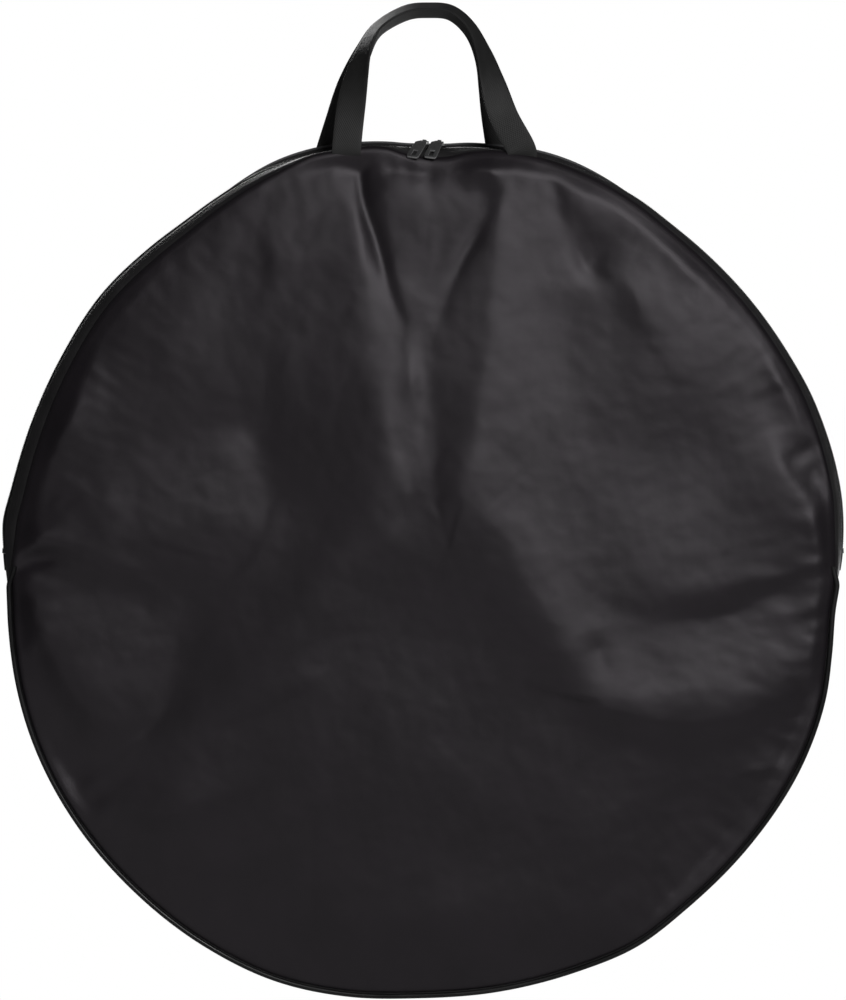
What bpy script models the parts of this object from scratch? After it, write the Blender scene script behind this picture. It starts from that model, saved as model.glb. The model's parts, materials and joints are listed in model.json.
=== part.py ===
"""A round padded bag for one bike wheel, as separate named pieces. Metres, +Z up, front towards -Y.

The bag hangs by its two webbing handles, and the origin is the point under the tops of the handle
loops. Every shape is worked out about the bag's centre and carried there by an empty. Angles round
the bag start at the top and grow towards +X.
"""

import math

import bmesh
import bpy
from mathutils import Matrix, Vector

# Outline of the bag, from its centre
ZIP_CREST_RADIUS = 0.370  # outside of the zipped band on the upper half
ZIP_BAND_RISE = 0.010  # how far that band stands out over its seams
BASE_STEP = 0.002  # how far the plain band on the lower half lies inside the zipped one
BASE_BAND_RISE = 0.003
ZIP_SEAM_RADIUS = ZIP_CREST_RADIUS - ZIP_BAND_RISE
BASE_CREST_RADIUS = ZIP_CREST_RADIUS - BASE_STEP
BASE_SEAM_RADIUS = BASE_CREST_RADIUS - BASE_BAND_RISE
SEAM_HALF_WIDTH = 0.024  # middle of the band to either seam
FOLD_HEIGHT = 0.012  # line on which the front flap folds, above the centre
NARROWING_START = math.radians(86.5)  # angles between which the upper radii become the lower ones
NARROWING_END = math.radians(95)

# Panels and what lies inside them
FRONT_CROWN = 0.012
BACK_CROWN = 0.010
FLAT_RADIUS = 0.110  # flat middle of both panels
CLOTH_THICKNESS = 0.0009
PADDING_THICKNESS = 0.004
PADDING_MARGIN = 0.010  # from a panel's seam to the edge of its padding
GUARD_RADIUS = 0.062
GUARD_THICKNESS = 0.0015
CLEARANCE = 0.0003  # between neighbouring pieces
CROWN_POWER = 3
PANEL_RING_SHARES = (0, 0.4, 0.75, 1)  # rings between the flat middle and the seam
PANEL_STEPS = 54

# Band, tape and chain of the zip
BAND_THICKNESS = 0.0008
BAND_INNER_EDGE = 0.012  # middle of the band to the edge of a cloth strip beside the zip
TAPE_THICKNESS = 0.0008
TAPE_WIDTH = 0.01375
CHAIN_GAP = 0.0013  # slit between the two halves of the chain
CHAIN_WIDTH = 0.0022  # one half, over its ribs
CHAIN_HEIGHT = 0.0020
CHAIN_RIB_DEPTH = 0.0006
CHAIN_PITCH = 0.009  # one rib to the next
MESH_SHARE = 0.25  # of the pitch, by which each half is moved so that ribs face the gaps between ribs
ZIP_REACH = math.radians(86.2)  # the chain runs this far round on both sides of the top
BAND_STEPS = 54
BAND_COLUMNS = 4
STRIP_COLUMNS = 2

# Stops and cover tabs at the ends of the zip
STOP_LENGTH = 0.0045
STOP_HALF_WIDTH = 0.0032
STOP_STEPS = 2
TAB_LENGTH = 0.014
TAB_HALF_WIDTH = 0.009
TAB_THICKNESS = 0.0012
TAB_STEPS = 4

# Piping in the two lower seams
PIPING_DIAMETER = 0.0046
PIPING_STANDOFF = 0.0006  # from the panel's rim, whose facets are longer than the piping's
PIPING_SIDES = 6

# Sliders, which meet nose to nose just right of the top
SLIDER_MEET_X = 0.0076
SLIDER_PITCH = 0.0128
SLIDER_LENGTH = 0.011
SLIDER_NOSE_WIDTH = 0.0086
SLIDER_TAIL_WIDTH = 0.0070
SLIDER_PLATE_THICKNESS = 0.0012
SLIDER_HEADROOM = 0.0008  # chain to the top plate
SLIDER_FOOTROOM = 0.0010  # tape to the bottom plate
SLIDER_POST_LENGTH = 0.0022
SLIDER_POST_THICKNESS = 0.0006
SLIDER_CORNER = 0.0008
BRIDGE_HALF_SPAN = 0.0032
BRIDGE_WIRE_RADIUS = 0.0006

# Pulls, which lie forward over the band
PULL_EYE_RADIUS = 0.00135
PULL_EYE_WALL = 0.0006
PULL_EYE_LENGTH = 0.0030
PULL_THICKNESS = 0.0016
PULL_WIDTH = 0.0105
PULL_NECK_WIDTH = 0.0036
PULL_REACH = 0.030  # from the bridge forwards
PULL_DROP = 0.0172  # from the bridge down to the far end
PULL_PATH_SHARES = ((0.04, 0.0), (0.18, 0.02), (0.34, 0.13), (0.67, 0.56), (0.95, 0.93), (1.0, 1.0))
PULL_CRANK_POINT = 2  # the path's point after which the pull is straight, counted from 0
PULL_WIDTH_SHARES = (0.0, 0.0, 0.9, 1.0, 1.0, 0.72)  # of the way from neck width to full width
PULL_WINDOW_LENGTH = 0.009
PULL_WINDOW_WIDTH = 0.0042
PULL_WINDOW_SHARE = 0.80  # place of the window's middle along the pull
LEFT_PULL_SKEW = math.radians(18)
RIGHT_PULL_SKEW = math.radians(13)

# Handles
WEBBING_WIDTH = 0.025
WEBBING_THICKNESS = 0.0018
HANDLE_SEW_DROP = 0.004  # the free webbing starts this far under the band's outside
HANDLE_LOOP_HEIGHT = 0.1255  # from there to the middle of the webbing at the top of a loop
HANDLE_SEW_HEIGHT = ZIP_CREST_RADIUS - HANDLE_SEW_DROP
HANDLE_TOP_HEIGHT = HANDLE_SEW_HEIGHT + HANDLE_LOOP_HEIGHT
HANDLE_HALF_SPACING = 0.0755  # middle of a loop to the middle of a leg
FRONT_HANDLE_X = 0.0095
REAR_HANDLE_X = -0.0070
HANDLE_RIDGE_GAP = 0.0016  # between the two loops where they lean together
HANDLE_TOP_TILT = math.radians(25)
HANDLE_RINGS = 36
HANDLE_END_COLUMNS = 4
FRONT_LOOP_SHARES = (
    (-1.0, 0.0),
    (-0.955, 0.27),
    (-0.89, 0.51),
    (-0.795, 0.71),
    (-0.635, 0.87),
    (-0.33, 0.98),
    (-0.06, 1.0),
    (0.205, 0.98),
    (0.43, 0.86),
    (0.575, 0.67),
    (0.67, 0.47),
    (0.80, 0.23),
    (1.0, 0.0),
)
REAR_LOOP_SHARES = (
    (-1.0, 0.0),
    (-0.86, 0.27),
    (-0.74, 0.51),
    (-0.605, 0.71),
    (-0.435, 0.87),
    (-0.11, 0.98),
    (0.16, 1.0),
    (0.42, 0.98),
    (0.64, 0.86),
    (0.80, 0.67),
    (0.885, 0.47),
    (0.945, 0.23),
    (1.0, 0.0),
)
TWIST_START_SHARE = 0.10  # of the loop's height, where its legs start to turn
TWIST_END_SHARE = 0.90

OVERRUN = 0.002  # how far a cutting shape passes the face it cuts
ROUND_SIDES = 12
SMOOTH_ANGLE = math.radians(35)

FRONT, BACK = -1, 1


def hang_height():
    """The bag's centre to the underside of the outer edges of the leaning loops."""
    lean = WEBBING_WIDTH / 2 * math.sin(HANDLE_TOP_TILT)
    return HANDLE_TOP_HEIGHT - lean - WEBBING_THICKNESS / 2


def smooth_share(value, start, end):
    """0 up to start, 1 from end on, and a smooth rise between them."""
    share = min(1, max(0, (value - start) / (end - start)))
    return share * share * (3 - 2 * share)


def from_top(angle):
    """The angle from the top by the shorter way round."""
    turn = abs(angle) % math.tau
    return min(turn, math.tau - turn)


def crest_radius(angle):
    low = smooth_share(from_top(angle), NARROWING_START, NARROWING_END)
    return ZIP_CREST_RADIUS + (BASE_CREST_RADIUS - ZIP_CREST_RADIUS) * low


def seam_radius(angle):
    low = smooth_share(from_top(angle), NARROWING_START, NARROWING_END)
    return ZIP_SEAM_RADIUS + (BASE_SEAM_RADIUS - ZIP_SEAM_RADIUS) * low


def around(angle, radius, y):
    return Vector((radius * math.sin(angle), y, radius * math.cos(angle)))


def band_point(angle, across, depth):
    """A point of the band that joins the two panels: across is its distance from the middle towards
    the back, and depth lies under the cloth's outer face, which is a shallow arch."""
    rise = crest_radius(angle) - seam_radius(angle)
    share = across / SEAM_HALF_WIDTH
    normal = Vector((2 * rise * share / SEAM_HALF_WIDTH, 1)).normalized()
    radius = crest_radius(angle) - rise * share * share
    return around(angle, radius - normal.y * depth, across - normal.x * depth)


def spread(start, end, steps):
    return [start + (end - start) * step / steps for step in range(steps + 1)]


def band_section(angle, edges, depth, thickness):
    """A closed ring of points across the band, along its outer face and back along its inner one."""
    outer = [band_point(angle, across, depth) for across in edges]
    inner = [band_point(angle, across, depth + thickness) for across in reversed(edges)]
    return outer + inner


def fold_angle():
    """From the top to where the fold line meets the crest."""
    return math.acos(FOLD_HEIGHT / crest_radius(math.pi / 2))


def arc_share(length, radius=ZIP_CREST_RADIUS):
    """The angle of this length along the crest."""
    return length / radius


# Mesh helpers


def mesh_from(bm, name):
    bmesh.ops.recalc_face_normals(bm, faces=bm.faces)
    mesh = bpy.data.meshes.new(name)
    bm.to_mesh(mesh)
    bm.free()
    return mesh


def lofted(rings):
    """A closed solid through rings of points, with a flat face at each end."""
    bm = bmesh.new()
    rows = [[bm.verts.new(point) for point in ring] for ring in rings]
    count = len(rows[0])
    for low, high in zip(rows, rows[1:]):
        for i in range(count):
            j = (i + 1) % count
            bm.faces.new((low[i], low[j], high[j], high[i]))
    bm.faces.new(rows[0])
    bm.faces.new(rows[-1])
    return bm


def extruded(outline, direction):
    """A closed solid from a flat outline, pushed along a direction."""
    return lofted([outline, [point + direction for point in outline]])


def block(low, high):
    outline = [
        Vector((low[0], low[1], low[2])),
        Vector((high[0], low[1], low[2])),
        Vector((high[0], high[1], low[2])),
        Vector((low[0], high[1], low[2])),
    ]
    return extruded(outline, Vector((0, 0, high[2] - low[2])))


def round_bar(start, end, radius, sides=ROUND_SIDES):
    """A straight bar between two points."""
    along = (end - start).normalized()
    aside = along.orthogonal().normalized()
    other = along.cross(aside)
    turns = [math.tau * i / sides for i in range(sides)]
    outline = [start + radius * (math.cos(t) * aside + math.sin(t) * other) for t in turns]
    return extruded(outline, end - start)


def joined_mesh(name, first, others):
    """First with the other shapes added to it or cut from it, each given as (operation, shape)."""
    target = bpy.data.objects.new(name, mesh_from(first, name))
    bpy.context.scene.collection.objects.link(target)
    tools = []
    for operation, shape in others:
        tool = bpy.data.objects.new(name + "_tool", mesh_from(shape, name + "_tool"))
        bpy.context.scene.collection.objects.link(tool)
        modifier = target.modifiers.new(operation.lower(), "BOOLEAN")
        modifier.operation = operation
        modifier.object = tool
        tools.append(tool)
    bpy.context.view_layer.update()
    graph = bpy.context.evaluated_depsgraph_get()
    mesh = bpy.data.meshes.new_from_object(target.evaluated_get(graph))
    for used in [target] + tools:
        spare = used.data
        bpy.data.objects.remove(used)
        bpy.data.meshes.remove(spare)
    return mesh


def add_piece(name, mesh, material, carrier):
    """An object in the scene, at rest where its mesh lies, that moves with its carrier."""
    mesh.name = name
    if not mesh.materials:
        mesh.materials.append(material)
    mesh.shade_smooth()
    mesh.set_sharp_from_angle(angle=SMOOTH_ANGLE)
    piece = bpy.data.objects.new(name, mesh)
    bpy.context.scene.collection.objects.link(piece)
    piece.parent = carrier
    centre = Matrix.Translation((0, 0, -hang_height()))
    piece.matrix_parent_inverse = carrier.matrix_world.inverted() @ centre
    return piece


def add_axis(name, place, parent=None):
    """An empty on a joint's axis, at a place given from the bag's centre."""
    axis = bpy.data.objects.new(name, None)
    axis.empty_display_size = SEAM_HALF_WIDTH
    bpy.context.scene.collection.objects.link(axis)
    world = Matrix.Translation(Vector(place) - Vector((0, 0, hang_height())))
    if parent:
        axis.parent = parent
        axis.matrix_parent_inverse = parent.matrix_world.inverted()
    axis.matrix_basis = world
    bpy.context.view_layer.update()
    return axis


def finish(name, colour, roughness, metallic=0.0):
    material = bpy.data.materials.new(name)
    material.use_nodes = True
    shader = material.node_tree.nodes["Principled BSDF"]
    shader.inputs["Base Color"].default_value = (*colour, 1)
    shader.inputs["Roughness"].default_value = roughness
    shader.inputs["Metallic"].default_value = metallic
    material.diffuse_color = (*colour, 1)
    return material


# Panels


def crown_share(angle, radius):
    """How much of a panel's crown stands at this radius: all of it in the flat middle, none at the seam."""
    out = max(0, radius - FLAT_RADIUS) / (seam_radius(angle) - FLAT_RADIUS)
    return 1 - out**CROWN_POWER


def panel_point(side, crown, angle, radius, inset):
    """A point of a panel, inset from its outer face."""
    outer = SEAM_HALF_WIDTH + CLEARANCE + CLOTH_THICKNESS
    return around(angle, radius, side * (outer - inset + crown * crown_share(angle, radius)))


def panel_radii(angle, rim):
    inner = min(FLAT_RADIUS, rim)
    if inner == rim:
        return [rim]
    return [inner + (rim - inner) * share for share in PANEL_RING_SHARES]


def panel_solid(side, crown, rim_of, inset, thickness):
    """A crowned round sheet with two faces and a rim wall. rim_of gives its radius at an angle."""
    bm = bmesh.new()
    angles = [math.tau * step / PANEL_STEPS for step in range(PANEL_STEPS)]
    rims = []
    for depth in (inset, inset + thickness):
        middle = bm.verts.new(panel_point(side, crown, 0, 0, depth))
        spokes = []
        for angle in angles:
            radii = panel_radii(angle, rim_of(angle))
            points = [panel_point(side, crown, angle, radius, depth) for radius in radii]
            spokes.append([middle] + [bm.verts.new(point) for point in points])
        for this, following in zip(spokes, spokes[1:] + spokes[:1]):
            bm.faces.new((middle, this[1], following[1]))
            for near, far in zip(range(1, len(this)), range(2, len(this))):
                bm.faces.new((this[near], this[far], following[far], following[near]))
        rims.append([spoke[-1] for spoke in spokes])
    for i in range(PANEL_STEPS):
        j = (i + 1) % PANEL_STEPS
        bm.faces.new((rims[0][i], rims[0][j], rims[1][j], rims[1][i]))
    return bm


def kept_part(bm, height, above):
    """What lies above or below a level, with its cut edge closed."""
    direction = Vector((0, 0, -1 if above else 1))
    bmesh.ops.recalc_face_normals(bm, faces=bm.faces)
    bmesh.ops.bisect_plane(
        bm,
        geom=bm.verts[:] + bm.edges[:] + bm.faces[:],
        plane_co=(0, 0, height),
        plane_no=direction,
        clear_outer=True,
    )
    bmesh.ops.holes_fill(bm, edges=[edge for edge in bm.edges if edge.is_boundary])
    return bm


def add_panel_layers(side, crown, pieces, materials):
    """Cloth, padding and hub guard of a panel. pieces gives each part's carrier, and the side of the
    fold line that it lies on: True above it, False below it, None for a panel that doesn't fold."""
    padding_inset = CLOTH_THICKNESS + CLEARANCE
    guard_inset = padding_inset + PADDING_THICKNESS + CLEARANCE
    layers = (
        ("cloth", seam_radius, 0, CLOTH_THICKNESS),
        ("padding", lambda angle: seam_radius(angle) - PADDING_MARGIN, padding_inset, PADDING_THICKNESS),
        ("hub_guard", lambda angle: GUARD_RADIUS, guard_inset, GUARD_THICKNESS),
    )
    for part, carrier, above in pieces:
        for layer, rim_of, inset, thickness in layers:
            bm = panel_solid(side, crown, rim_of, inset, thickness)
            if above is not None:
                offset = CLEARANCE / 2 if above else -CLEARANCE / 2
                bm = kept_part(bm, FOLD_HEIGHT + offset, above)
            label = f"{part}_{layer}"
            add_piece(label, mesh_from(bm, label), materials[layer], carrier)


# Band, zip and piping


def add_zip_side(name, side, materials, carrier):
    """The cloth strip, the tape and half of the chain, between the top of the bag and one panel."""
    tape_depth = BAND_THICKNESS + CLEARANCE
    chain_depth = tape_depth - CLEARANCE - CHAIN_HEIGHT
    end = fold_angle() - arc_share(CLEARANCE)
    inner = side * CHAIN_GAP / 2

    strip_edges = spread(side * SEAM_HALF_WIDTH, side * BAND_INNER_EDGE, STRIP_COLUMNS)
    tape_edges = spread(inner + side * TAPE_WIDTH, inner, STRIP_COLUMNS)
    for label, edges, depth, thickness, material in (
        (f"zip_band_{name}", strip_edges, 0, BAND_THICKNESS, materials["band"]),
        (f"zip_tape_{name}", tape_edges, tape_depth, TAPE_THICKNESS, materials["zip_tape"]),
    ):
        angles = spread(-end, end, BAND_STEPS)
        rings = [band_section(angle, edges, depth, thickness) for angle in angles]
        add_piece(label, mesh_from(lofted(rings), label), material, carrier)

    ribs = round(2 * ZIP_REACH * ZIP_CREST_RADIUS / CHAIN_PITCH)
    shift = side * MESH_SHARE * 2 * ZIP_REACH / ribs
    rings = []
    for step, angle in enumerate(spread(-ZIP_REACH, ZIP_REACH, 2 * ribs)):
        valley = CHAIN_RIB_DEPTH * (step % 2)
        edges = [inner + side * (CHAIN_WIDTH - valley), inner]
        rings.append(
            band_section(angle + shift, edges, chain_depth + valley, CHAIN_HEIGHT - valley)
        )
    label = f"zip_chain_{name}"
    add_piece(label, mesh_from(lofted(rings), label), materials["zip_chain"], carrier)


def add_lower_band(materials, carrier):
    """The plain cloth band round the lower half, from one end of the zip to the other."""
    start = fold_angle() + arc_share(CLEARANCE)
    edges = spread(-SEAM_HALF_WIDTH, SEAM_HALF_WIDTH, BAND_COLUMNS)
    angles = spread(start, math.tau - start, BAND_STEPS)
    rings = [band_section(angle, edges, 0, BAND_THICKNESS) for angle in angles]
    add_piece("lower_band", mesh_from(lofted(rings), "lower_band"), materials["band"], carrier)


def add_piping(name, side, materials, carrier):
    start = fold_angle() + arc_share(CLEARANCE)
    y = side * (SEAM_HALF_WIDTH + CLEARANCE + CLOTH_THICKNESS)
    turns = [math.tau * i / PIPING_SIDES for i in range(PIPING_SIDES)]
    half = PIPING_DIAMETER / 2
    rings = []
    for angle in spread(start, math.tau - start, BAND_STEPS):
        middle = seam_radius(angle) + PIPING_STANDOFF + half
        rings.append([around(angle, middle + half * math.cos(t), y + half * math.sin(t)) for t in turns])
    label = f"piping_{name}"
    add_piece(label, mesh_from(lofted(rings), label), materials["piping"], carrier)


def add_zip_end(name, side, materials, carrier):
    """The stop past the end of the chain, and the cloth tab sewn over the zip's end."""
    stop_start = ZIP_REACH + arc_share(MESH_SHARE * CHAIN_PITCH + CLEARANCE)
    stop_end = stop_start + arc_share(STOP_LENGTH)
    edges = spread(-STOP_HALF_WIDTH, STOP_HALF_WIDTH, STRIP_COLUMNS)
    rings = [
        band_section(side * angle, edges, BAND_THICKNESS - CHAIN_HEIGHT, CHAIN_HEIGHT)
        for angle in spread(stop_start, stop_end, STOP_STEPS)
    ]
    label = f"zip_stop_{name}"
    add_piece(label, mesh_from(lofted(rings), label), materials["metal"], carrier)

    tab_start = stop_end + arc_share(CLEARANCE)
    edges = spread(-TAB_HALF_WIDTH, TAB_HALF_WIDTH, BAND_COLUMNS)
    rings = [
        band_section(side * angle, edges, -TAB_THICKNESS - CLEARANCE, TAB_THICKNESS)
        for angle in spread(tab_start, tab_start + arc_share(TAB_LENGTH), TAB_STEPS)
    ]
    label = f"zip_end_tab_{name}"
    add_piece(label, mesh_from(lofted(rings), label), materials["webbing"], carrier)


# Sliders and pulls


def chain_top():
    return ZIP_CREST_RADIUS - BAND_THICKNESS + CHAIN_HEIGHT


def bridge_radius():
    """The bag's centre to the middle of a slider's bridge, which the pull's eye turns on."""
    plate_top = chain_top() + SLIDER_HEADROOM + SLIDER_PLATE_THICKNESS
    return plate_top + CLEARANCE + PULL_EYE_RADIUS + PULL_EYE_WALL


def slider_plate(low, high, nose):
    """A flat plate that narrows from its nose to its tail. nose is the way the nose points along X."""
    front, back = nose * SLIDER_LENGTH / 2, -nose * SLIDER_LENGTH / 2
    wide, narrow = SLIDER_NOSE_WIDTH / 2, SLIDER_TAIL_WIDTH / 2
    corner = nose * SLIDER_CORNER
    half = [
        (front, wide - SLIDER_CORNER),
        (front - corner, wide),
        (back + corner, narrow),
        (back, narrow - SLIDER_CORNER),
    ]
    outline = [Vector((x, y, low)) for x, y in half]
    outline += [Vector((x, -y, low)) for x, y in reversed(half)]
    return extruded(outline, Vector((0, 0, high - low)))


def slider_mesh(name, nose, angle):
    top_low = chain_top() + SLIDER_HEADROOM
    top_high = top_low + SLIDER_PLATE_THICKNESS
    tape_low = ZIP_CREST_RADIUS - BAND_THICKNESS - CLEARANCE - TAPE_THICKNESS
    base_high = tape_low - SLIDER_FOOTROOM
    base_low = base_high - SLIDER_PLATE_THICKNESS
    half_post = SLIDER_POST_THICKNESS / 2
    post_x = sorted((nose * SLIDER_LENGTH / 2, nose * (SLIDER_LENGTH / 2 - SLIDER_POST_LENGTH)))
    inside = SLIDER_PLATE_THICKNESS / 2
    post = block(
        (post_x[0], -half_post, base_low + inside), (post_x[1], half_post, top_high - inside)
    )
    bar_z = bridge_radius()
    shapes = [("UNION", slider_plate(base_low, base_high, nose)), ("UNION", post)]
    for end in (-1, 1):
        x = end * BRIDGE_HALF_SPAN
        foot = Vector((x, 0, top_high - inside))
        head = Vector((x, 0, bar_z + BRIDGE_WIRE_RADIUS))
        shapes.append(("UNION", round_bar(foot, head, BRIDGE_WIRE_RADIUS)))
    span = Vector((BRIDGE_HALF_SPAN, 0, 0))
    middle = Vector((0, 0, bar_z))
    shapes.append(("UNION", round_bar(middle - span, middle + span, BRIDGE_WIRE_RADIUS)))
    mesh = joined_mesh(name, slider_plate(top_low, top_high, nose), shapes)
    mesh.transform(Matrix.Rotation(angle, 4, "Y"))
    return mesh


def pull_mesh(name, skew, angle):
    """A cranked flat tab with a rolled eye at one end and a window near the other."""
    forward, down = Vector((0, -1, 0)), Vector((0, 0, -1))
    middles = [PULL_REACH * a * forward + PULL_DROP * b * down for a, b in PULL_PATH_SHARES]
    half_widths = [
        (PULL_NECK_WIDTH + (PULL_WIDTH - PULL_NECK_WIDTH) * share) / 2 for share in PULL_WIDTH_SHARES
    ]
    rings = []
    for i, (middle, half_width) in enumerate(zip(middles, half_widths)):
        before, after = middles[max(i - 1, 0)], middles[min(i + 1, len(middles) - 1)]
        along = (after - before).normalized()
        up = PULL_THICKNESS / 2 * Vector((1, 0, 0)).cross(along)
        aside = Vector((half_width, 0, 0))
        rings.append([middle - aside - up, middle + aside - up, middle + aside + up, middle - aside + up])
    eye = Vector((PULL_EYE_LENGTH / 2, 0, 0))
    past = Vector((PULL_EYE_LENGTH / 2 + OVERRUN, 0, 0))
    window_at = PULL_WINDOW_SHARE * (PULL_REACH * forward + PULL_DROP * down)
    lengthways = (middles[-1] - middles[PULL_CRANK_POINT]).normalized()
    across = Vector((1, 0, 0)).cross(lengthways)
    start = window_at - lengthways * PULL_WINDOW_LENGTH / 2 - across * (PULL_THICKNESS + OVERRUN)
    side_step = Vector((PULL_WINDOW_WIDTH / 2, 0, 0))
    long_step = lengthways * PULL_WINDOW_LENGTH
    outline = [
        start - side_step,
        start + side_step,
        start + side_step + long_step,
        start - side_step + long_step,
    ]
    window = extruded(outline, across * 2 * (PULL_THICKNESS + OVERRUN))
    shapes = [
        ("UNION", round_bar(-eye, eye, PULL_EYE_RADIUS + PULL_EYE_WALL)),
        ("DIFFERENCE", round_bar(-past, past, PULL_EYE_RADIUS)),
        ("DIFFERENCE", window),
    ]
    mesh = joined_mesh(name, lofted(rings), shapes)
    lean = (PULL_REACH * forward + PULL_DROP * down).normalized()
    mesh.transform(Matrix.Rotation(skew, 4, Vector((1, 0, 0)).cross(lean)))
    mesh.transform(Matrix.Translation((0, 0, bridge_radius())))
    mesh.transform(Matrix.Rotation(angle, 4, "Y"))
    return mesh


def add_slider_and_pull(name, side, skew, materials, carrier):
    """A slider on a carrier that turns about the bag's centre, and its pull."""
    x = SLIDER_MEET_X + side * SLIDER_PITCH / 2
    angle = math.asin(x / ZIP_CREST_RADIUS)
    nose = -side
    runner = add_axis(f"slider_{name}_axis", (0, 0, 0), carrier)
    label = f"slider_{name}"
    add_piece(label, slider_mesh(label, nose, angle), materials["metal"], runner)
    pivot = add_axis(f"pull_{name}_axis", around(angle, bridge_radius(), 0), runner)
    label = f"pull_{name}"
    add_piece(label, pull_mesh(label, skew, angle), materials["metal"], pivot)


# Handles


def smooth_path(points, count):
    """Points along a smooth curve through the given ones, evenly spaced in its parameter."""
    ends = [2 * points[0] - points[1]] + points + [2 * points[-1] - points[-2]]
    path = []
    for step in range(count + 1):
        place = step / count * (len(points) - 1)
        index = min(int(place), len(points) - 2)
        t = place - index
        before, start, end, after = ends[index : index + 4]
        path.append(
            0.5 * (
                2 * start
                + (end - before) * t
                + (2 * before - 5 * start + 4 * end - after) * t * t
                + (3 * start - before - 3 * end + after) * t * t * t
            )
        )
    return path


def handle_depth(height_share):
    """How far a handle lies from the bag's middle plane: it leans in towards the other one."""
    low = SEAM_HALF_WIDTH + CLEARANCE + WEBBING_THICKNESS / 2
    lean = WEBBING_WIDTH / 2 * math.cos(HANDLE_TOP_TILT)
    high = HANDLE_RIDGE_GAP / 2 + lean + WEBBING_THICKNESS / 2 * math.sin(HANDLE_TOP_TILT)
    return low + (high - low) * height_share


def handle_rings(side, middle_x, loop_shares):
    """Four-cornered rings of webbing that face the front at the legs and turn up over the top."""
    foot = HANDLE_SEW_HEIGHT + CLEARANCE / 2
    height = HANDLE_TOP_HEIGHT - foot
    points = [
        Vector((middle_x + a * HANDLE_HALF_SPACING, side * handle_depth(b), foot + b * height))
        for a, b in loop_shares
    ]
    path = smooth_path(points, HANDLE_RINGS)
    rings = []
    for i, point in enumerate(path):
        along = (path[min(i + 1, len(path) - 1)] - path[max(i - 1, 0)]).normalized()
        if i == 0 or i == len(path) - 1:
            along = Vector((0, 0, 1 if i == 0 else -1))
        share = (point.z - foot) / height
        turn = smooth_share(share, TWIST_START_SHARE, TWIST_END_SHARE)
        turn *= side * (math.pi / 2 - HANDLE_TOP_TILT)
        flat = Vector((0, 1, 0)).cross(along).normalized()
        deep = along.cross(flat)
        wide = (math.cos(turn) * flat + math.sin(turn) * deep) * WEBBING_WIDTH / 2
        thick = along.cross(wide).normalized() * WEBBING_THICKNESS / 2
        rings.append([point - wide - thick, point + wide - thick, point + wide + thick, point - wide + thick])
    return rings


def handle_end_mesh(side, x):
    """The short sewn end of a leg, which stands out of the seam over the panel's rim."""
    near = side * (SEAM_HALF_WIDTH + CLEARANCE)
    edges = spread(x - WEBBING_WIDTH / 2, x + WEBBING_WIDTH / 2, HANDLE_END_COLUMNS)
    rim = ZIP_SEAM_RADIUS + CLEARANCE
    top = HANDLE_SEW_HEIGHT - CLEARANCE / 2
    outline = [Vector((edge, near, math.sqrt(rim * rim - edge * edge))) for edge in edges]
    outline += [Vector((edges[-1], near, top)), Vector((edges[0], near, top))]
    return mesh_from(extruded(outline, Vector((0, side * WEBBING_THICKNESS, 0))), "handle_end")


def handle_axis_place(side):
    """On the outer face of the sewn ends, where the webbing folds down."""
    y = side * (SEAM_HALF_WIDTH + CLEARANCE + WEBBING_THICKNESS + CLEARANCE / 2)
    return (0, y, HANDLE_SEW_HEIGHT)


def add_handle(name, side, middle_x, loop_shares, materials, carrier):
    for end_name, end in (("left", -1), ("right", 1)):
        mesh = handle_end_mesh(side, middle_x + end * HANDLE_HALF_SPACING)
        add_piece(f"handle_{name}_end_{end_name}", mesh, materials["webbing"], carrier)
    axis = add_axis(f"handle_{name}_axis", handle_axis_place(side), carrier)
    mesh = mesh_from(lofted(handle_rings(side, middle_x, loop_shares)), f"handle_{name}")
    add_piece(f"handle_{name}", mesh, materials["webbing"], axis)


def make_materials():
    return {
        "cloth": finish("black_polyester", (0.022, 0.021, 0.022), 0.55),
        "padding": finish("grey_foam", (0.12, 0.12, 0.125), 0.9),
        "hub_guard": finish("black_plastic_sheet", (0.03, 0.03, 0.03), 0.45),
        "band": finish("black_band_cloth", (0.016, 0.016, 0.017), 0.6),
        "zip_tape": finish("black_zip_tape", (0.012, 0.012, 0.012), 0.7),
        "zip_chain": finish("black_nylon_chain", (0.015, 0.015, 0.016), 0.35),
        "piping": finish("glossy_black_piping", (0.010, 0.010, 0.011), 0.18),
        "webbing": finish("black_webbing", (0.012, 0.012, 0.013), 0.65),
        "metal": finish("dark_zip_metal", (0.09, 0.09, 0.095), 0.4, 0.9),
    }


def flap_axis_place():
    """The flap folds about a line just in front of the crowned front panel."""
    front_most = SEAM_HALF_WIDTH + CLEARANCE + CLOTH_THICKNESS + FRONT_CROWN
    return (0, -(front_most + CLEARANCE), FOLD_HEIGHT)


def main():
    for leftover in list(bpy.data.objects):
        bpy.data.objects.remove(leftover)
    materials = make_materials()
    shell = add_axis("bag_centre", (0, 0, 0))
    flap = add_axis("flap_axis", flap_axis_place(), shell)

    front_pieces = (("flap", flap, True), ("lower_front", shell, False))
    add_panel_layers(FRONT, FRONT_CROWN, front_pieces, materials)
    add_panel_layers(BACK, BACK_CROWN, (("back", shell, None),), materials)
    add_zip_side("front", FRONT, materials, flap)
    add_zip_side("back", BACK, materials, shell)
    add_lower_band(materials, shell)
    add_piping("front", FRONT, materials, shell)
    add_piping("back", BACK, materials, shell)
    for name, side, skew in (("left", -1, LEFT_PULL_SKEW), ("right", 1, RIGHT_PULL_SKEW)):
        add_zip_end(name, side, materials, shell)
        add_slider_and_pull(name, side, skew, materials, shell)
    add_handle("front", FRONT, FRONT_HANDLE_X, FRONT_LOOP_SHARES, materials, flap)
    add_handle("rear", BACK, REAR_HANDLE_X, REAR_LOOP_SHARES, materials, shell)


main()
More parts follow.
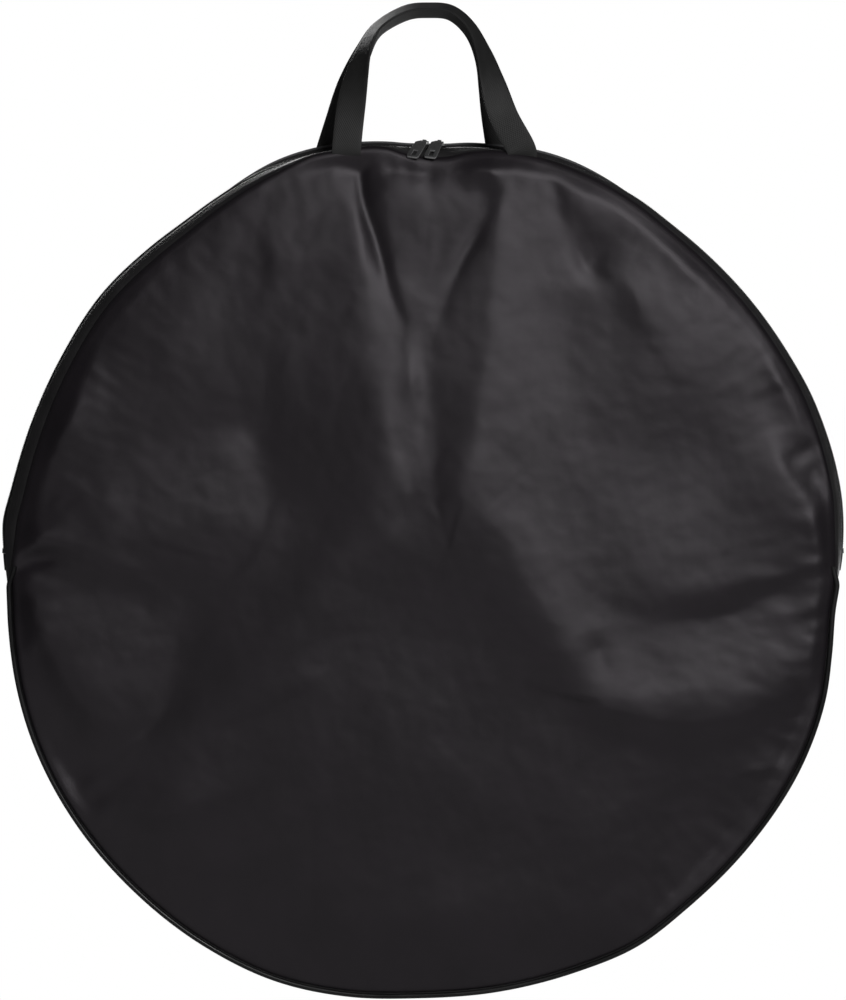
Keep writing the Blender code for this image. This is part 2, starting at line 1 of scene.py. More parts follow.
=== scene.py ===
"""The looks of a round padded bag for one bike wheel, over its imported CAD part. Metres, +Z up, front
towards -Y.

Shapes are worked out about the bag's centre, in the plane of the bag, and carried to its place as
they are made. Angles round the bag start at the top and grow towards +X. Tables are in millimetres.
"""

import json
import math

import bpy
import numpy as np
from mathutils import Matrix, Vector, noise

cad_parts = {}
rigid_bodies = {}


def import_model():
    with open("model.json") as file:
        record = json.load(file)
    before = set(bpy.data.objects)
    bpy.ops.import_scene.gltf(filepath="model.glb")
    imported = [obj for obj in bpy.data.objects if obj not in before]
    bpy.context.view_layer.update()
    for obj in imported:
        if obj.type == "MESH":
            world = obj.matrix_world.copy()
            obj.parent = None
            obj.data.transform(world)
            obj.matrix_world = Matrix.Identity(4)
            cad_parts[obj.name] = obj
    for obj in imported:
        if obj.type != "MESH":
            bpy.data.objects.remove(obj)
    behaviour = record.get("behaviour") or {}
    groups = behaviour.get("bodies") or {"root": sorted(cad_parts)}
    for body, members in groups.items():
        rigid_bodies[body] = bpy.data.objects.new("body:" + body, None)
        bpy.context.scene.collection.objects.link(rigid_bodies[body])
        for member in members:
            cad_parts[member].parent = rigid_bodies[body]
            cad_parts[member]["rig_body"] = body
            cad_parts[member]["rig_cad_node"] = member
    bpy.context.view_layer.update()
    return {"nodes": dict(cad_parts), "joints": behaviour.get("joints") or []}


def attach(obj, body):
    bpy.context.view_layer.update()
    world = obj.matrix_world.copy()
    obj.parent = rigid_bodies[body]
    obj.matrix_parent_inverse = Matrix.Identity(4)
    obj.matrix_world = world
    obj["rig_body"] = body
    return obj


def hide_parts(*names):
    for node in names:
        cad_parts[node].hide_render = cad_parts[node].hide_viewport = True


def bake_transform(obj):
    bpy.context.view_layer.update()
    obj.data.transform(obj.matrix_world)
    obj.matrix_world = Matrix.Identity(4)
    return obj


MILLIMETRE = 0.001
FRONT, BACK = -1, 1

# The bag as the CAD part has it
ZIP_CREST_RADIUS = 0.370
BASE_CREST_RADIUS = 0.368
SEAM_HALF_WIDTH = 0.024
NARROWING_START = 86.5  # degrees from the top
NARROWING_END = 95.0
CROWNS = {FRONT: 0.012, BACK: 0.010}
FLAT_RADIUS = 0.110  # of the middle of a crowned panel
CROWN_POWER = 3
CLOTH_THICKNESS = 0.0009
CLEARANCE = 0.0003
FACE_DEPTH = SEAM_HALF_WIDTH + CLEARANCE + CLOTH_THICKNESS  # the bag's middle to a panel's face, at its rim

# How the hanging bag differs from a true circle: (degrees from the top, millimetres outwards)
OUTLINE_BULGES = (
    (0, 0.4), (3.2, 0.5), (6, 2.4), (10, 4.0), (15, 5.4), (20, 6.6), (25, 6.6), (30, 5.4),
    (35, 2.8), (42, 1.4), (50, 0.9), (60, 0.9), (65, 1.7), (70, 1.5), (76, 1.0), (80, 0.0),
    (83, -1.6), (87, -4.6), (91, -8.0), (96, -11.5), (101, -10.0), (107, -6.4), (115, -4.0),
    (130, -3.2), (142, -1.8), (150, 1.2), (159, -1.5), (170, -3.3),
    (181, -3.4), (190, 0.8), (200, 4.2), (210, 3.2), (222, 1.0), (234, -1.0), (246, -3.6),
    (256, -6.4), (263, -8.0), (269, -6.6), (273, -4.6), (277, -1.9), (281.5, -4.2), (291, -5.0),
    (301, -3.3), (311, 0.3), (320, -0.2), (326, 0.0), (331, 2.6), (336, 5.6), (341, 6.8),
    (346, 6.2), (351, 4.6), (355, 2.6), (358, 0.6),
)
# How far the seams lie inside the outline: (degrees from the top, millimetres)
SEAM_DROPS = {
    FRONT: (
        (0, 10.0), (3.4, 9.6), (6.5, 5.5), (12, 2.0), (16, 2.0), (22, 4.0), (40, 7.5), (60, 8.0),
        (78, 9.5), (86, 9.0), (90, 5.0), (96, 2.6), (103, 1.6), (140, 1.6), (180, 1.6), (220, 1.6),
        (257, 1.6), (264, 3.1), (270, 7.0), (276, 13.5), (284, 13.5), (300, 12.5), (325, 11.5),
        (340, 7.0), (345.5, 2.0), (349, 2.6), (355, 2.6), (357.8, 7.5),
    ),
    BACK: (
        (0, -6.0), (5, -6.6), (10, -7.2), (15, -8.6), (20, -7.4), (25, -4.6), (30, -1.6), (36, 1.4),
        (44, 4.6), (56, 7.6), (84, 9.0), (95, 3.6), (103, 1.6), (180, 1.6), (257, 1.6), (266, 4.0),
        (276, 9.0), (304, 7.6), (316, 4.6), (324, 1.4), (330, -1.4), (335, -3.8), (340, -6.8),
        (345, -8.2), (350, -7.8), (355, -7.0),
    ),
}

# Panels
PANEL_THICKNESS = 0.0052
RIM_THICKNESS_SHARE = 0.2  # of that, where a panel meets its seam
RIM_ROLL = 0.0042  # length over which a panel turns down into its seam
RIM_DEPTH = 0.0022
FOLD_FADE = 0.013  # length over which the folds run out at the seam
FADE_GROWTH = 1.2  # how much longer that is for each step of a fold's height
LINING_FOLLOW = 0.6  # share of a fold that the lining follows
LINING_HOLD = 0.3  # how much less of a ridge it follows, and how much more of a hollow

# Band, zip and piping
CLOTH_STRIP_EDGE = 0.012  # middle of the zip to the edge of the cloth strip beside it
STRIP_THICKNESS = 0.0008
SEAM_TUCK = 0.0016
SEAM_TUCK_REACH = 0.0016
TAPE_EDGE = 0.00002  # middle of the zip to a tape's edge
TAPE_WIDTH = 0.0144
TAPE_DEPTH = STRIP_THICKNESS + CLEARANCE
TOOTH_PITCH = 0.0015
TOOTH_SHIFT = 0.25  # of the pitch, by which the teeth of each side lie off the middle of their place
TOOTH_START = 0.00005  # middle of the zip to a tooth's head
TOOTH_LENGTH = 0.0027
TOOTH_WIDTH = 0.00105
TOOTH_HEIGHT = 0.0019
TOOTH_SINK = 0.0002  # into the tape
BAR_ROUNDING = 0.2  # of a small bar's length and thickness
ZIP_REACH = 86.58  # degrees from the top to either end of the chain
CHAIN_LENGTH = 2 * math.radians(ZIP_REACH) * ZIP_CREST_RADIUS
PIPING_RADIUS = 0.0023
PIPING_STANDOFF = -0.0008  # the cord is pressed into the panel's edge
PIPING_START = 89.0  # degrees from the top
PIPING_TUCK_REACH = 3.0  # degrees over which its ends come up out of the seam
TAB_START = 87.32  # degrees from the top
TAB_END = 89.6
TAB_HALF_WIDTH = 0.009
TAB_THICKNESS = 0.0012
TAB_STAND = 0.0006  # over the strips
STRIP_REACH = 90.4  # degrees from the top to either end of the cloth strips and tapes
LOWER_BAND_START = 89.2  # degrees from the top
LOWER_BAND_DEPTH = 0.0004  # the lower band goes in under the ends of the strips

# Metal
MERGE_DISTANCE = 0.00001  # of the CAD part's loose triangles
MERGE_ANGLE = 1  # degrees up to which they are one flat face
METAL_EDGE = 0.0003  # rounding of the metal's edges, which takes the lighter finish: partly wear, partly painted highlight
WORN_AND_HIGHLIT_SIDE = 0.5  # how level with a pull's flat a face still counts as its side, which takes the lighter finish of wear and painted highlight

# Stitches
STITCH_PITCH = 0.0034
STITCH_LENGTH = 0.0026
STITCH_THICKNESS = 0.0006
STRIP_STITCH_INSET = 0.0020  # from a strip's edge beside the zip
GUARD_STITCH_INSET = 0.0040

# Hub guards
GUARD_RADIUS = 0.062
GUARD_THICKNESS = 0.0015
GUARD_EDGE = GUARD_THICKNESS / 3  # rounding of its rim
GUARD_DEPTH = 0.0057  # under the panel's outer face

# Handles
WEBBING_WIDTH = 0.025
WEBBING_THICKNESS = 0.0018
WEBBING_EDGE = 0.0005  # rounding of its edges
HANDLE_TOP_HEIGHT = 0.4915
HANDLE_SEW_HEIGHT = 0.366
HANDLE_HALF_SPACING = 0.0755
FRONT_HANDLE_X = 0.0095
REAR_HANDLE_X = -0.0070
HANDLE_RIDGE_GAP = 0.0016
HANDLE_TOP_TILT = math.radians(20)
HANDLE_SEWN_LENGTH = 0.011  # how far the webbing goes down behind the seam
HANDLE_SEWN_DEPTH = 0.0078  # how far its end lies behind the panel's face
# Middle line of each handle: (share of its half spacing, share of its height over its sewn ends)
FRONT_LOOP_SHARES = (
    (-1.0, 0.0), (-0.955, 0.27), (-0.89, 0.51), (-0.795, 0.71), (-0.635, 0.87), (-0.33, 0.98),
    (-0.06, 1.0), (0.205, 0.98), (0.43, 0.86), (0.575, 0.67), (0.67, 0.47), (0.80, 0.23), (1.0, 0.0),
)
REAR_LOOP_SHARES = (
    (-1.0, 0.0), (-0.86, 0.27), (-0.74, 0.51), (-0.605, 0.71), (-0.435, 0.87), (-0.11, 0.98),
    (0.16, 1.0), (0.42, 0.98), (0.64, 0.86), (0.80, 0.67), (0.885, 0.47), (0.945, 0.23), (1.0, 0.0),
)
TWIST_START_SHARE = 0.10  # of the handle's height
TWIST_END_SHARE = 0.90

# How finely the pieces are made
PANEL_CELLS = 240
BACK_PANEL_CELLS = 150
GUARD_CELLS = 28
ROUND_STEPS = 360  # round half of the bag
LEAST_STEPS = 8
STRIP_COLUMNS = 8
TAPE_COLUMNS = 6
LOWER_BAND_COLUMNS = 24
HANDLE_RINGS = 150
HANDLE_COLUMNS = 8
TOOTH_SIDES = 8
STITCH_SIDES = 6
PIPING_ROUNDNESS = 3
EDGE_STEPS = 2  # across a rounded edge
# Edges that turn by more degrees than this stay sharp to the eye
SMOOTH_ANGLE = 40
SMALL_PIECE_SMOOTH_ANGLE = 50
PANEL_SMOOTH_ANGLE = 60
# Edges that turn by more degrees than this are rounded
GUARD_EDGE_ANGLE = 60
BAR_EDGE_ANGLE = 80

# Camera and studio
CAMERA_DISTANCE = 3.0
CAMERA_HEIGHT = 0.0636  # over the bag's centre
VIEW_HEIGHT = 0.8706  # what the camera sees at the bag's middle plane
VIEW_DEPTH = 100  # how far the camera sees
SENSOR = 36.0
FLOOR_DROP = 1.10  # the floor, under the bag's centre
FLOOR_SIZE = 7.0
FLOOR_WHITE_SHARE = 0.5  # of what the camera sees of the floor
WHITE = (1, 1, 1, 1)
ROOM_LIGHT = (0.068, 0.068, 0.0692, 1.0)
SOFTBOXES = (  # name, place from the bag's centre, size, power
    ("key_softbox", (0.95, -2.3, 1.30), 0.9, 70),
    ("fill_softbox", (-1.4, -2.6, -1.0), 1.8, 14.3),
    ("back_softbox", (-0.95, 2.3, 1.30), 0.9, 34),
    ("back_fill_softbox", (1.4, 2.6, -0.6), 1.8, 34),
)


# Numbers and tables


def smooth_share(value, start, end):
    """0 up to start, 1 from end on, and a smooth rise between them."""
    share = np.clip((value - start) / (end - start), 0, 1)
    return share * share * (3 - 2 * share)


def table_value(table, degrees):
    """A smooth curve through a table of (degrees from the top, value), closed round the bag."""
    places = np.array([row[0] for row in table], float)
    values = np.array([row[1] for row in table], float)
    places = np.concatenate((places[-2:] - 360, places, places[:2] + 360))
    values = np.concatenate((values[-2:], values, values[:2]))
    slopes = np.gradient(values, places)
    at = np.asarray(degrees, float) % 360
    low = np.clip(np.searchsorted(places, at, side="right") - 1, 0, len(places) - 2)
    span = places[low + 1] - places[low]
    t = (at - places[low]) / span
    start = values[low] * (1 + 2 * t) * (1 - t) ** 2 + slopes[low] * span * t * (1 - t) ** 2
    end = values[low + 1] * t * t * (3 - 2 * t) - slopes[low + 1] * span * t * t * (1 - t)
    return start + end


def from_top(degrees):
    """How far from the top, on either side."""
    turned = np.asarray(degrees, float) % 360
    return np.minimum(turned, 360 - turned)


def crest_radius(degrees):
    """The outside of the band."""
    low = smooth_share(from_top(degrees), NARROWING_START, NARROWING_END)
    round_radius = ZIP_CREST_RADIUS + (BASE_CREST_RADIUS - ZIP_CREST_RADIUS) * low
    return round_radius + MILLIMETRE * table_value(OUTLINE_BULGES, degrees)


def seam_radius(degrees, side):
    return crest_radius(degrees) - MILLIMETRE * table_value(SEAM_DROPS[side], degrees)


def around(degrees, radius, y):
    """Points at an angle and a distance from the bag's centre."""
    turn = np.radians(degrees)
    return np.stack(np.broadcast_arrays(radius * np.sin(turn), y, radius * np.cos(turn)), axis=-1)


def band_point(degrees, across, depth):
    """Points of the band: across is the distance from its middle towards the back of the bag, and
    depth lies under the cloth's outer face."""
    front_drop, back_drop = (table_value(SEAM_DROPS[side], degrees) for side in (FRONT, BACK))
    side_drop = np.where(across < 0, front_drop, back_drop)
    share = across / SEAM_HALF_WIDTH
    radius = crest_radius(degrees) - MILLIMETRE * side_drop * share * share
    seam_gap = np.abs(SEAM_HALF_WIDTH - np.abs(across)) / SEAM_TUCK_REACH
    radius = radius - SEAM_TUCK * np.exp(-seam_gap * seam_gap)
    return around(degrees, radius - depth, across)


# Objects


def new_object(name, data):
    piece = bpy.data.objects.new(name, data)
    bpy.context.scene.collection.objects.link(piece)
    return piece


def select_only(piece):
    bpy.ops.object.select_all(action="DESELECT")
    piece.select_set(True)
    bpy.context.view_layer.objects.active = piece


def points_of(mesh):
    flat = np.empty(len(mesh.vertices) * 3, np.float32)
    mesh.vertices.foreach_get("co", flat)
    return flat.reshape(-1, 3).astype(float)


def set_points(mesh, points):
    mesh.vertices.foreach_set("co", np.asarray(points, np.float32).ravel())
    mesh.update()


def carry_to_place(piece):
    """From the bag's centre to its place in the part's frame."""
    set_points(piece.data, points_of(piece.data) + np.array(centre))


def finish_with(piece, kind, **settings):
    """Adds a modifier and applies it."""
    modifier = piece.modifiers.new(kind.lower(), kind)
    for name, value in settings.items():
        setattr(modifier, name, value)
    select_only(piece)
    bpy.ops.object.modifier_apply(modifier=modifier.name)


def round_edges(piece, width, segments=EDGE_STEPS, **settings):
    finish_with(piece, "BEVEL", width=width, segments=segments, limit_method="ANGLE", **settings)


def smooth_faces(piece, angle=SMOOTH_ANGLE):
    select_only(piece)
    bpy.ops.object.shade_smooth_by_angle(angle=math.radians(angle))


def dress(piece, material):
    piece.data.materials.clear()
    piece.data.materials.append(material)


def bent_grid(name, columns, rows, place, sizes):
    """A flat grid whose points go where place(u, v) says, with a UV map in metres. u and v run from
    0 to 1, and the outer face is the one from which v turns left from u."""
    bpy.ops.object.select_all(action="DESELECT")
    bpy.ops.mesh.primitive_grid_add(x_subdivisions=columns, y_subdivisions=rows, size=2)
    piece = bpy.context.object
    piece.name = piece.data.name = name
    flat = (points_of(piece.data) + 1) / 2
    set_points(piece.data, place(flat[:, 0], flat[:, 1]))
    layer = piece.data.uv_layers.active.data
    marks = np.empty(len(layer) * 2, np.float32)
    layer.foreach_get("uv", marks)
    marks = marks.reshape(-1, 2) * np.array(sizes, np.float32)
    layer.foreach_set("uv", marks.ravel())
    return piece


def tube_along(name, points, radius, roundness):
    """A round tube along points, closed at its ends, made from a curve."""
    curve = bpy.data.curves.new(name, "CURVE")
    curve.dimensions = "3D"
    curve.bevel_depth = radius
    curve.bevel_resolution = roundness
    curve.use_fill_caps = True
    line = curve.splines.new("POLY")
    line.points.add(len(points) - 1)
    flat = np.concatenate((np.asarray(points), np.ones((len(points), 1))), axis=1)
    line.points.foreach_set("co", flat.astype(np.float32).ravel())
    select_only(new_object(name, curve))
    bpy.ops.object.convert(target="MESH")
    return bpy.context.object


def path_length(points):
    return float(np.linalg.norm(np.diff(points, axis=0), axis=1).sum())


def copies_of(name, shape, places):
    """One mesh with a copy of a small shape at each place, given as (origin, along, across, out)."""
    points = points_of(shape.data)
    faces = [tuple(face.vertices) for face in shape.data.polygons]
    all_points = []
    all_faces = []
    for index, (origin, along, across, out) in enumerate(places):
        all_points.append(origin + points[:, :1] * along + points[:, 1:2] * across + points[:, 2:] * out)
        first = index * len(points)
        all_faces += [tuple(first + corner for corner in face) for face in faces]
    mesh = bpy.data.meshes.new(name)
    mesh.from_pydata(np.concatenate(all_points).tolist(), [], all_faces)
    mesh.update()
    bpy.data.objects.remove(shape)
    return new_object(name, mesh)


def bend_with_flap(piece):
    """Bakes the piece's place into its points. It is not bent, and not tied to the flap or the shell."""
    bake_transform(piece)


# Panels and their folds

# Long folds of the front panel: (how round, rows of (across, up, height, reach left, reach right)),
# left and right as seen when going down the rows. The rows were laid over the photo. Their
# heights and reaches, and small moves of their places, were then fitted to its light and dark.
FRONT_FOLDS = (
    (1.6, (  # narrow ridge under the sliders
        (-20, 247, 0.7, 7, 21), (-13, 202, 0.6, 7, 24), (-10, 166, 3.7, 7, 27), (-1, 115, 1.2, 8, 30),
        (12, 69, -1.7, 8, 30),
    )),
    (1.6, (  # loose cloth beside the left handle leg
        (-49, 349, -2.4, 24, 23), (-44, 337, -1.5, 24, 23), (-36, 326, 1.3, 24, 23), (-29, 318, 2, 24, 23),
    )),
    (1.6, (  # rim of the dish under the sliders
        (-30, 339, -0.2, 8, 31), (-25, 312, -0.8, 12, 31), (-14, 288, -0.7, 15, 31), (6, 276, 0.1, 16, 31),
        (34, 280, 0.4, 15, 31), (51, 300, 0.3, 10, 31),
    )),
    (1.6, (  # top of the dish
        (-26, 349, -1.6, 7, 7), (-3, 345, -2.3, 7, 7), (27, 345, 1.2, 7, 7), (58, 347, 3.4, 9, 9),
    )),
    (1.6, (  # broad trough down the middle
        (1, 273, 0.2, 32, 40), (3, 227, 1.3, 33, 40), (6, 175, 1.8, 33, 40), (7, 124, 2, 33, 40),
        (11, 76, 1.2, 33, 40),
    )),
    (1.5, (  # deep fold from the right handle leg
        (56, 356, 6.8, 10, 16), (64, 331, 0.6, 10, 20), (55, 305, 0.4, 10, 25), (41, 281, 0, 10, 25),
        (25, 253, -0.7, 10, 25), (14, 221, -1.5, 10, 20), (9, 193, -1, 10, 20), (7, 154, -0.7, 10, 20),
        (12, 102, -1.5, 10, 20),
    )),
    (1.6, (  # crest right of the deep fold
        (84, 365, 9, 40, 14), (71, 330, 3.8, 40, 14), (63, 279, 3.1, 40, 20), (60, 221, 4.3, 40, 24),
        (53, 169, 5.8, 40, 27), (44, 106, 6.4, 40, 27), (34, 67, 4.9, 40, 24),
    )),
    (1.6, (  # slanting fold towards the right
        (89, 358, 0.1, 12, 6), (113, 340, -0.6, 21, 6), (128, 313, 2.5, 25, 7), (141, 265, -4.3, 30, 8),
        (180, 246, 2.8, 32, 9), (195, 195, 0.5, 32, 10), (229, 163, 0.1, 28, 11),
    )),
    (1.5, (  # crease along the upper right rim
        (193, 296, 1.1, 8, 13), (238, 266, 3.1, 9, 14), (277, 230, 0.7, 9, 14), (310, 189, 5, 8, 13),
    )),
    (1.8, (  # swell along the upper right rim
        (118, 344, 3.5, 14, 40), (186, 322, 4.1, 14, 40), (255, 270, 3.1, 16, 40), (307, 211, -0.2, 14, 40),
        (334, 151, 6.8, 12, 40),
    )),
    (1.5, (  # pucker at the right rim
        (281, 155, 0.2, 14, 6), (297, 162, 0.1, 14, 6), (312, 164, 1.7, 14, 6), (324, 158, 1.4, 14, 6),
    )),
    (1.6, (  # hollow under the pucker
        (287, 150, -1.3, 19, 20), (301, 143, -2.4, 19, 20), (324, 132, -0.9, 19, 20),
    )),
    (1.6, (  # ridge down to the right end of the zip
        (294, 124, 0.2, 12, 25), (310, 90, 6.9, 15, 33), (331, 59, 6.7, 15, 29), (349, 26, 6, 12, 21),
    )),
    (1.7, (  # dark flank left of the middle
        (-67, 308, -3.6, 40, 40), (-73, 261, -0.9, 40, 40), (-77, 201, 0.2, 40, 40),
        (-71, 141, 0.9, 40, 40), (-57, 90, 4, 40, 40), (-34, 29, 4.5, 40, 40),
    )),
    (1.7, (  # rise left of the flank
        (-84, 330, -0.4, 11, 40), (-95, 279, -0.3, 12, 40), (-101, 218, 0.4, 12, 40),
        (-101, 158, -0.8, 12, 40), (-90, 107, 0, 12, 40),
    )),
    (1.7, (  # inner fold of the upper left
        (-149, 347, 0.8, 21, 25), (-169, 296, 1.5, 29, 32), (-195, 244, 1.6, 33, 35),
        (-218, 201, 2.2, 29, 29),
    )),
    (1.7, (  # outer fold of the upper left
        (-226, 269, 1.6, 40, 40), (-256, 220, 2.2, 40, 40), (-278, 169, 2.2, 40, 40),
        (-295, 120, 1.2, 40, 40),
    )),
    (1.6, (  # small dimple of the upper left
        (-131, 298, 0.7, 15, 12), (-128, 275, 1.3, 17, 15), (-127, 248, 0.6, 17, 14),
    )),
    (1.5, (  # streak left of the flank
        (-110, 210, -0.4, 12, 6), (-119, 176, 0.9, 14, 7), (-131, 137, -0.9, 14, 7), (-139, 115, 0, 12, 6),
    )),
    (1.6, (  # top of the left fan
        (-355, 29, 3.6, 39, 15), (-321, 33, 4, 39, 15), (-282, 38, 4.3, 39, 23), (-243, 29, 4.2, 39, 27),
    )),
    (1.6, (  # outside of the lower left wedge
        (-243, -152, -1.4, 40, 40), (-216, -122, -1.1, 40, 40), (-202, -83, -2.5, 40, 40),
        (-194, -40, -3.4, 40, 40),
    )),
    (1.6, (  # crease under the wedge
        (-236, -149, -0.2, 25, 24), (-200, -137, 0.8, 30, 28), (-164, -124, 2.5, 35, 29),
        (-106, -99, 3.7, 30, 28),
    )),
    (1.8, (  # lower left sweep
        (-312, -186, -7.2, 40, 11), (-269, -194, 0.4, 40, 14), (-214, -203, 6.5, 40, 15),
        (-149, -177, 1.3, 40, 14), (-80, -143, -0.1, 40, 13),
    )),
    (1.3, (  # faint upright crease, left
        (-94, -74, 0, 7, 10), (-94, -160, 0.3, 7, 10), (-96, -246, -0.9, 7, 10), (-94, -339, -1.4, 7, 10),
    )),
    (1.3, (  # faint upright crease, right
        (149, -109, -0.8, 16, 6), (156, -57, -0.2, 16, 6), (149, 12, 0, 16, 6),
    )),
    (1.6, (  # ridge of the right fan
        (359, 14, 2.5, 6, 40), (320, 9, 0.4, 7, 40), (277, 8, -0.5, 8, 40), (229, 1, -0.8, 9, 40),
        (187, -5, 0.3, 10, 40), (150, 5, 0, 10, 40),
    )),
    (1.6, (  # valley of the right fan
        (357, 11, 2.5, 39, 9), (325, -4, -0.4, 39, 10), (299, -20, -3.1, 39, 13), (269, -34, -5.1, 39, 16),
        (237, -40, -4.9, 39, 16), (202, -41, -2.6, 39, 16), (171, -37, -2.1, 39, 16),
        (154, -21, -1.3, 39, 16), (147, 15, 0.1, 39, 13),
    )),
    (1.6, (  # ridge under the right valley
        (357, -41, -0.1, 16, 8), (322, -65, 0.6, 22, 10), (280, -82, 0.3, 25, 13), (239, -98, 0.9, 25, 14),
        (197, -108, 1.1, 22, 14), (165, -102, 0.3, 14, 11), (150, -65, -1.9, 10, 9),
    )),
    (1.6, (  # fold between that ridge and the rim
        (363, -14, 1.7, 10, 12), (333, -32, 1.2, 13, 15), (299, -47, 0.2, 15, 15), (264, -57, 0.2, 15, 15),
    )),
    (1.8, (  # lower right sweep
        (153, -113, 7.7, 40, 15), (204, -126, 5.2, 40, 16), (264, -122, 5.4, 40, 18),
        (324, -99, 1.6, 40, 15), (354, -74, 1.9, 40, 10),
    )),
    (1.4, (  # gathers of the left seam, from the top down
        (-341, 170, -0.5, 40, 40), (-324, 160, 6.9, 40, 40), (-302, 156, 4.3, 40, 40),
    )),
    (1.4, ((-350, 141, -0.7, 23, 24), (-333, 132, 6.5, 23, 24), (-310, 129, 6.3, 23, 24))),
    (1.4, ((-352, 115, -0.2, 9, 7), (-335, 110, 2.4, 9, 7), (-307, 101, 2.1, 9, 7))),
    (1.4, ((-353, 82, -0.2, 14, 16), (-334, 81, 3, 14, 16), (-302, 76, 1, 14, 16))),
    (1.4, (  # gathers of the right seam, from the top down
        (360, 115, 0.3, 23, 21), (343, 110, -2.4, 23, 24), (321, 105, -1.9, 23, 24),
    )),
    (1.4, ((362, 81, -1.4, 20, 20), (347, 80, -3.3, 22, 22), (326, 85, -2.4, 22, 22))),
    (1.4, ((357, -65, 2.5, 36, 40), (337, -81, 2.6, 40, 40), (311, -91, 3, 40, 40))),
    (1.4, ((346, -108, -5.8, 40, 24), (328, -121, -4.7, 40, 29), (305, -127, -3.7, 40, 29))),
    (1.4, ((329, -151, -3.8, 6, 10), (312, -163, -1.1, 6, 12), (291, -170, 1.5, 6, 12))),
    (1.6, (  # crest from the left handle leg
        (-65, 359, -4.9, 6, 40), (-59, 330, 1.6, 8, 40), (-55, 287, 4.4, 9, 40), (-48, 244, 3.4, 10, 40),
        (-41, 192, 4, 13, 40), (-32, 137, 6.9, 13, 40), (-19, 93, 4.2, 11, 40), (1, 67, 1.2, 9, 40),
    )),
    (1.5, (  # valley beside that crest
        (-55, 351, -5, 6, 6), (-51, 320, -5, 6, 6), (-39, 284, -5, 6, 6), (-29, 246, -2.5, 6, 6),
        (-15, 210, -0.6, 6, 6),
    )),
    (1.5, (  # wrinkle of the upper left
        (-138, 267, -0.1, 10, 10), (-118, 268, 1.1, 10, 10), (-95, 278, 0.7, 10, 10),
    )),
    (1.5, (  # round edge of the left pocket
        (-147, 126, -2.9, 28, 26), (-135, 102, -3.7, 28, 39), (-131, 64, -4.4, 31, 40),
        (-140, 30, -2.1, 31, 40), (-164, 3, -2.1, 31, 40), (-200, -16, -1.3, 31, 34),
        (-235, -11, -3.2, 31, 26),
    )),
    (1.6, (  # top of the left pocket
        (-355, 51, 1.5, 22, 40), (-325, 42, 1.7, 26, 40), (-293, 47, 3.1, 26, 40), (-252, 62, 0.7, 29, 40),
        (-222, 96, -1.6, 32, 40), (-190, 118, -3.2, 32, 40), (-157, 124, -3.5, 32, 40),
    )),
    (1.6, (  # ridge of the left fan
        (-355, 8, -3.8, 11, 7), (-329, 13, -3.6, 13, 8), (-299, 16, 2.2, 16, 9), (-276, 10, 3.8, 19, 9),
        (-235, -9, 2, 19, 9), (-200, -22, -0.8, 16, 9), (-153, -16, -0.1, 14, 9),
    )),
    (1.6, (  # left side of the lower left wedge
        (-349, 0, 3, 17, 11), (-330, -41, 9, 37, 14), (-309, -83, 7.5, 40, 17), (-284, -119, 6.2, 31, 17),
        (-256, -146, 0.5, 20, 17),
    )),
    (1.5, (  # right side of the lower left wedge
        (-256, -148, -0.9, 19, 13), (-235, -127, -2.3, 21, 18), (-221, -105, -3.9, 21, 24),
        (-213, -65, -3.7, 24, 24), (-207, -22, -1.2, 24, 18),
    )),
    (1.8, (  # broad swells of the middle
        (6, -57, -1, 40, 40), (15, 12, 3.1, 40, 40), (23, 64, 2.1, 40, 40),
    )),
    (1.8, ((41, 81, 2.8, 40, 40), (70, 29, 6.2, 40, 40), (98, -24, 7.9, 40, 40), (117, -57, 7.5, 40, 40))),
    (1.8, (
        (-21, 80, 1.9, 24, 23), (-63, 29, 3.4, 31, 29), (-88, -22, 5.2, 33, 32), (-140, -74, 2.7, 31, 29),
    )),
    (1.5, (  # fine creases of the upper middle
        (-63, 341, -0.6, 8, 8), (-54, 291, -0.3, 8, 8), (-46, 236, -0.8, 8, 8), (-37, 175, -1.1, 8, 8),
        (-25, 119, -1.9, 8, 8), (-10, 79, -2.3, 8, 8),
    )),
    (1.5, ((-14, 210, 0.4, 6, 6), (-10, 175, 0, 6, 6), (-2, 132, -1, 6, 6), (4, 82, 0.5, 6, 6))),
    (1.5, (
        (64, 339, 0.1, 6, 6), (57, 312, -0.5, 6, 6), (45, 289, -2.6, 6, 6), (33, 268, -2.2, 6, 6),
        (21, 239, -0.5, 6, 6), (13, 201, 0.4, 6, 6),
    )),
    (1.5, (
        (68, 313, 1.2, 13, 14), (62, 261, 0.2, 13, 14), (55, 210, -0.4, 13, 14), (47, 154, -0.1, 13, 14),
        (40, 107, -0.6, 13, 14),
    )),
    (1.4, (  # fine creases of the left fan and pocket
        (-355, 22, 1.1, 11, 6), (-325, 25, 5.1, 11, 6), (-286, 22, 0.7, 12, 7), (-252, 7, 0.5, 12, 7),
    )),
    (1.4, ((-353, 2, -4.3, 7, 6), (-323, 6, 0.7, 7, 6), (-291, 3, 1, 9, 6), (-261, -9, 1, 9, 6))),
    (1.4, ((-355, 38, 3.9, 9, 8), (-329, 34, 2.6, 9, 8), (-295, 38, -1.5, 11, 10), (-261, 51, 0.1, 11, 10))),
    (1.4, (
        (-138, 115, 0.1, 17, 6), (-129, 89, 0.1, 17, 6), (-128, 55, 0.6, 17, 6), (-138, 22, 1, 17, 6),
        (-161, -4, 1.6, 17, 6), (-195, -22, 0, 17, 6),
    )),
    (1.4, (  # fine creases of the wedge
        (-254, -146, 0, 8, 6), (-231, -129, -0.9, 8, 6), (-216, -105, -0.2, 8, 6), (-209, -65, 0.2, 8, 6),
        (-200, -31, -0.2, 8, 6),
    )),
    (1.4, (
        (-254, -148, 0.5, 9, 12), (-200, -141, -0.1, 9, 12), (-157, -129, -1.9, 9, 12),
        (-102, -103, -1.3, 9, 12),
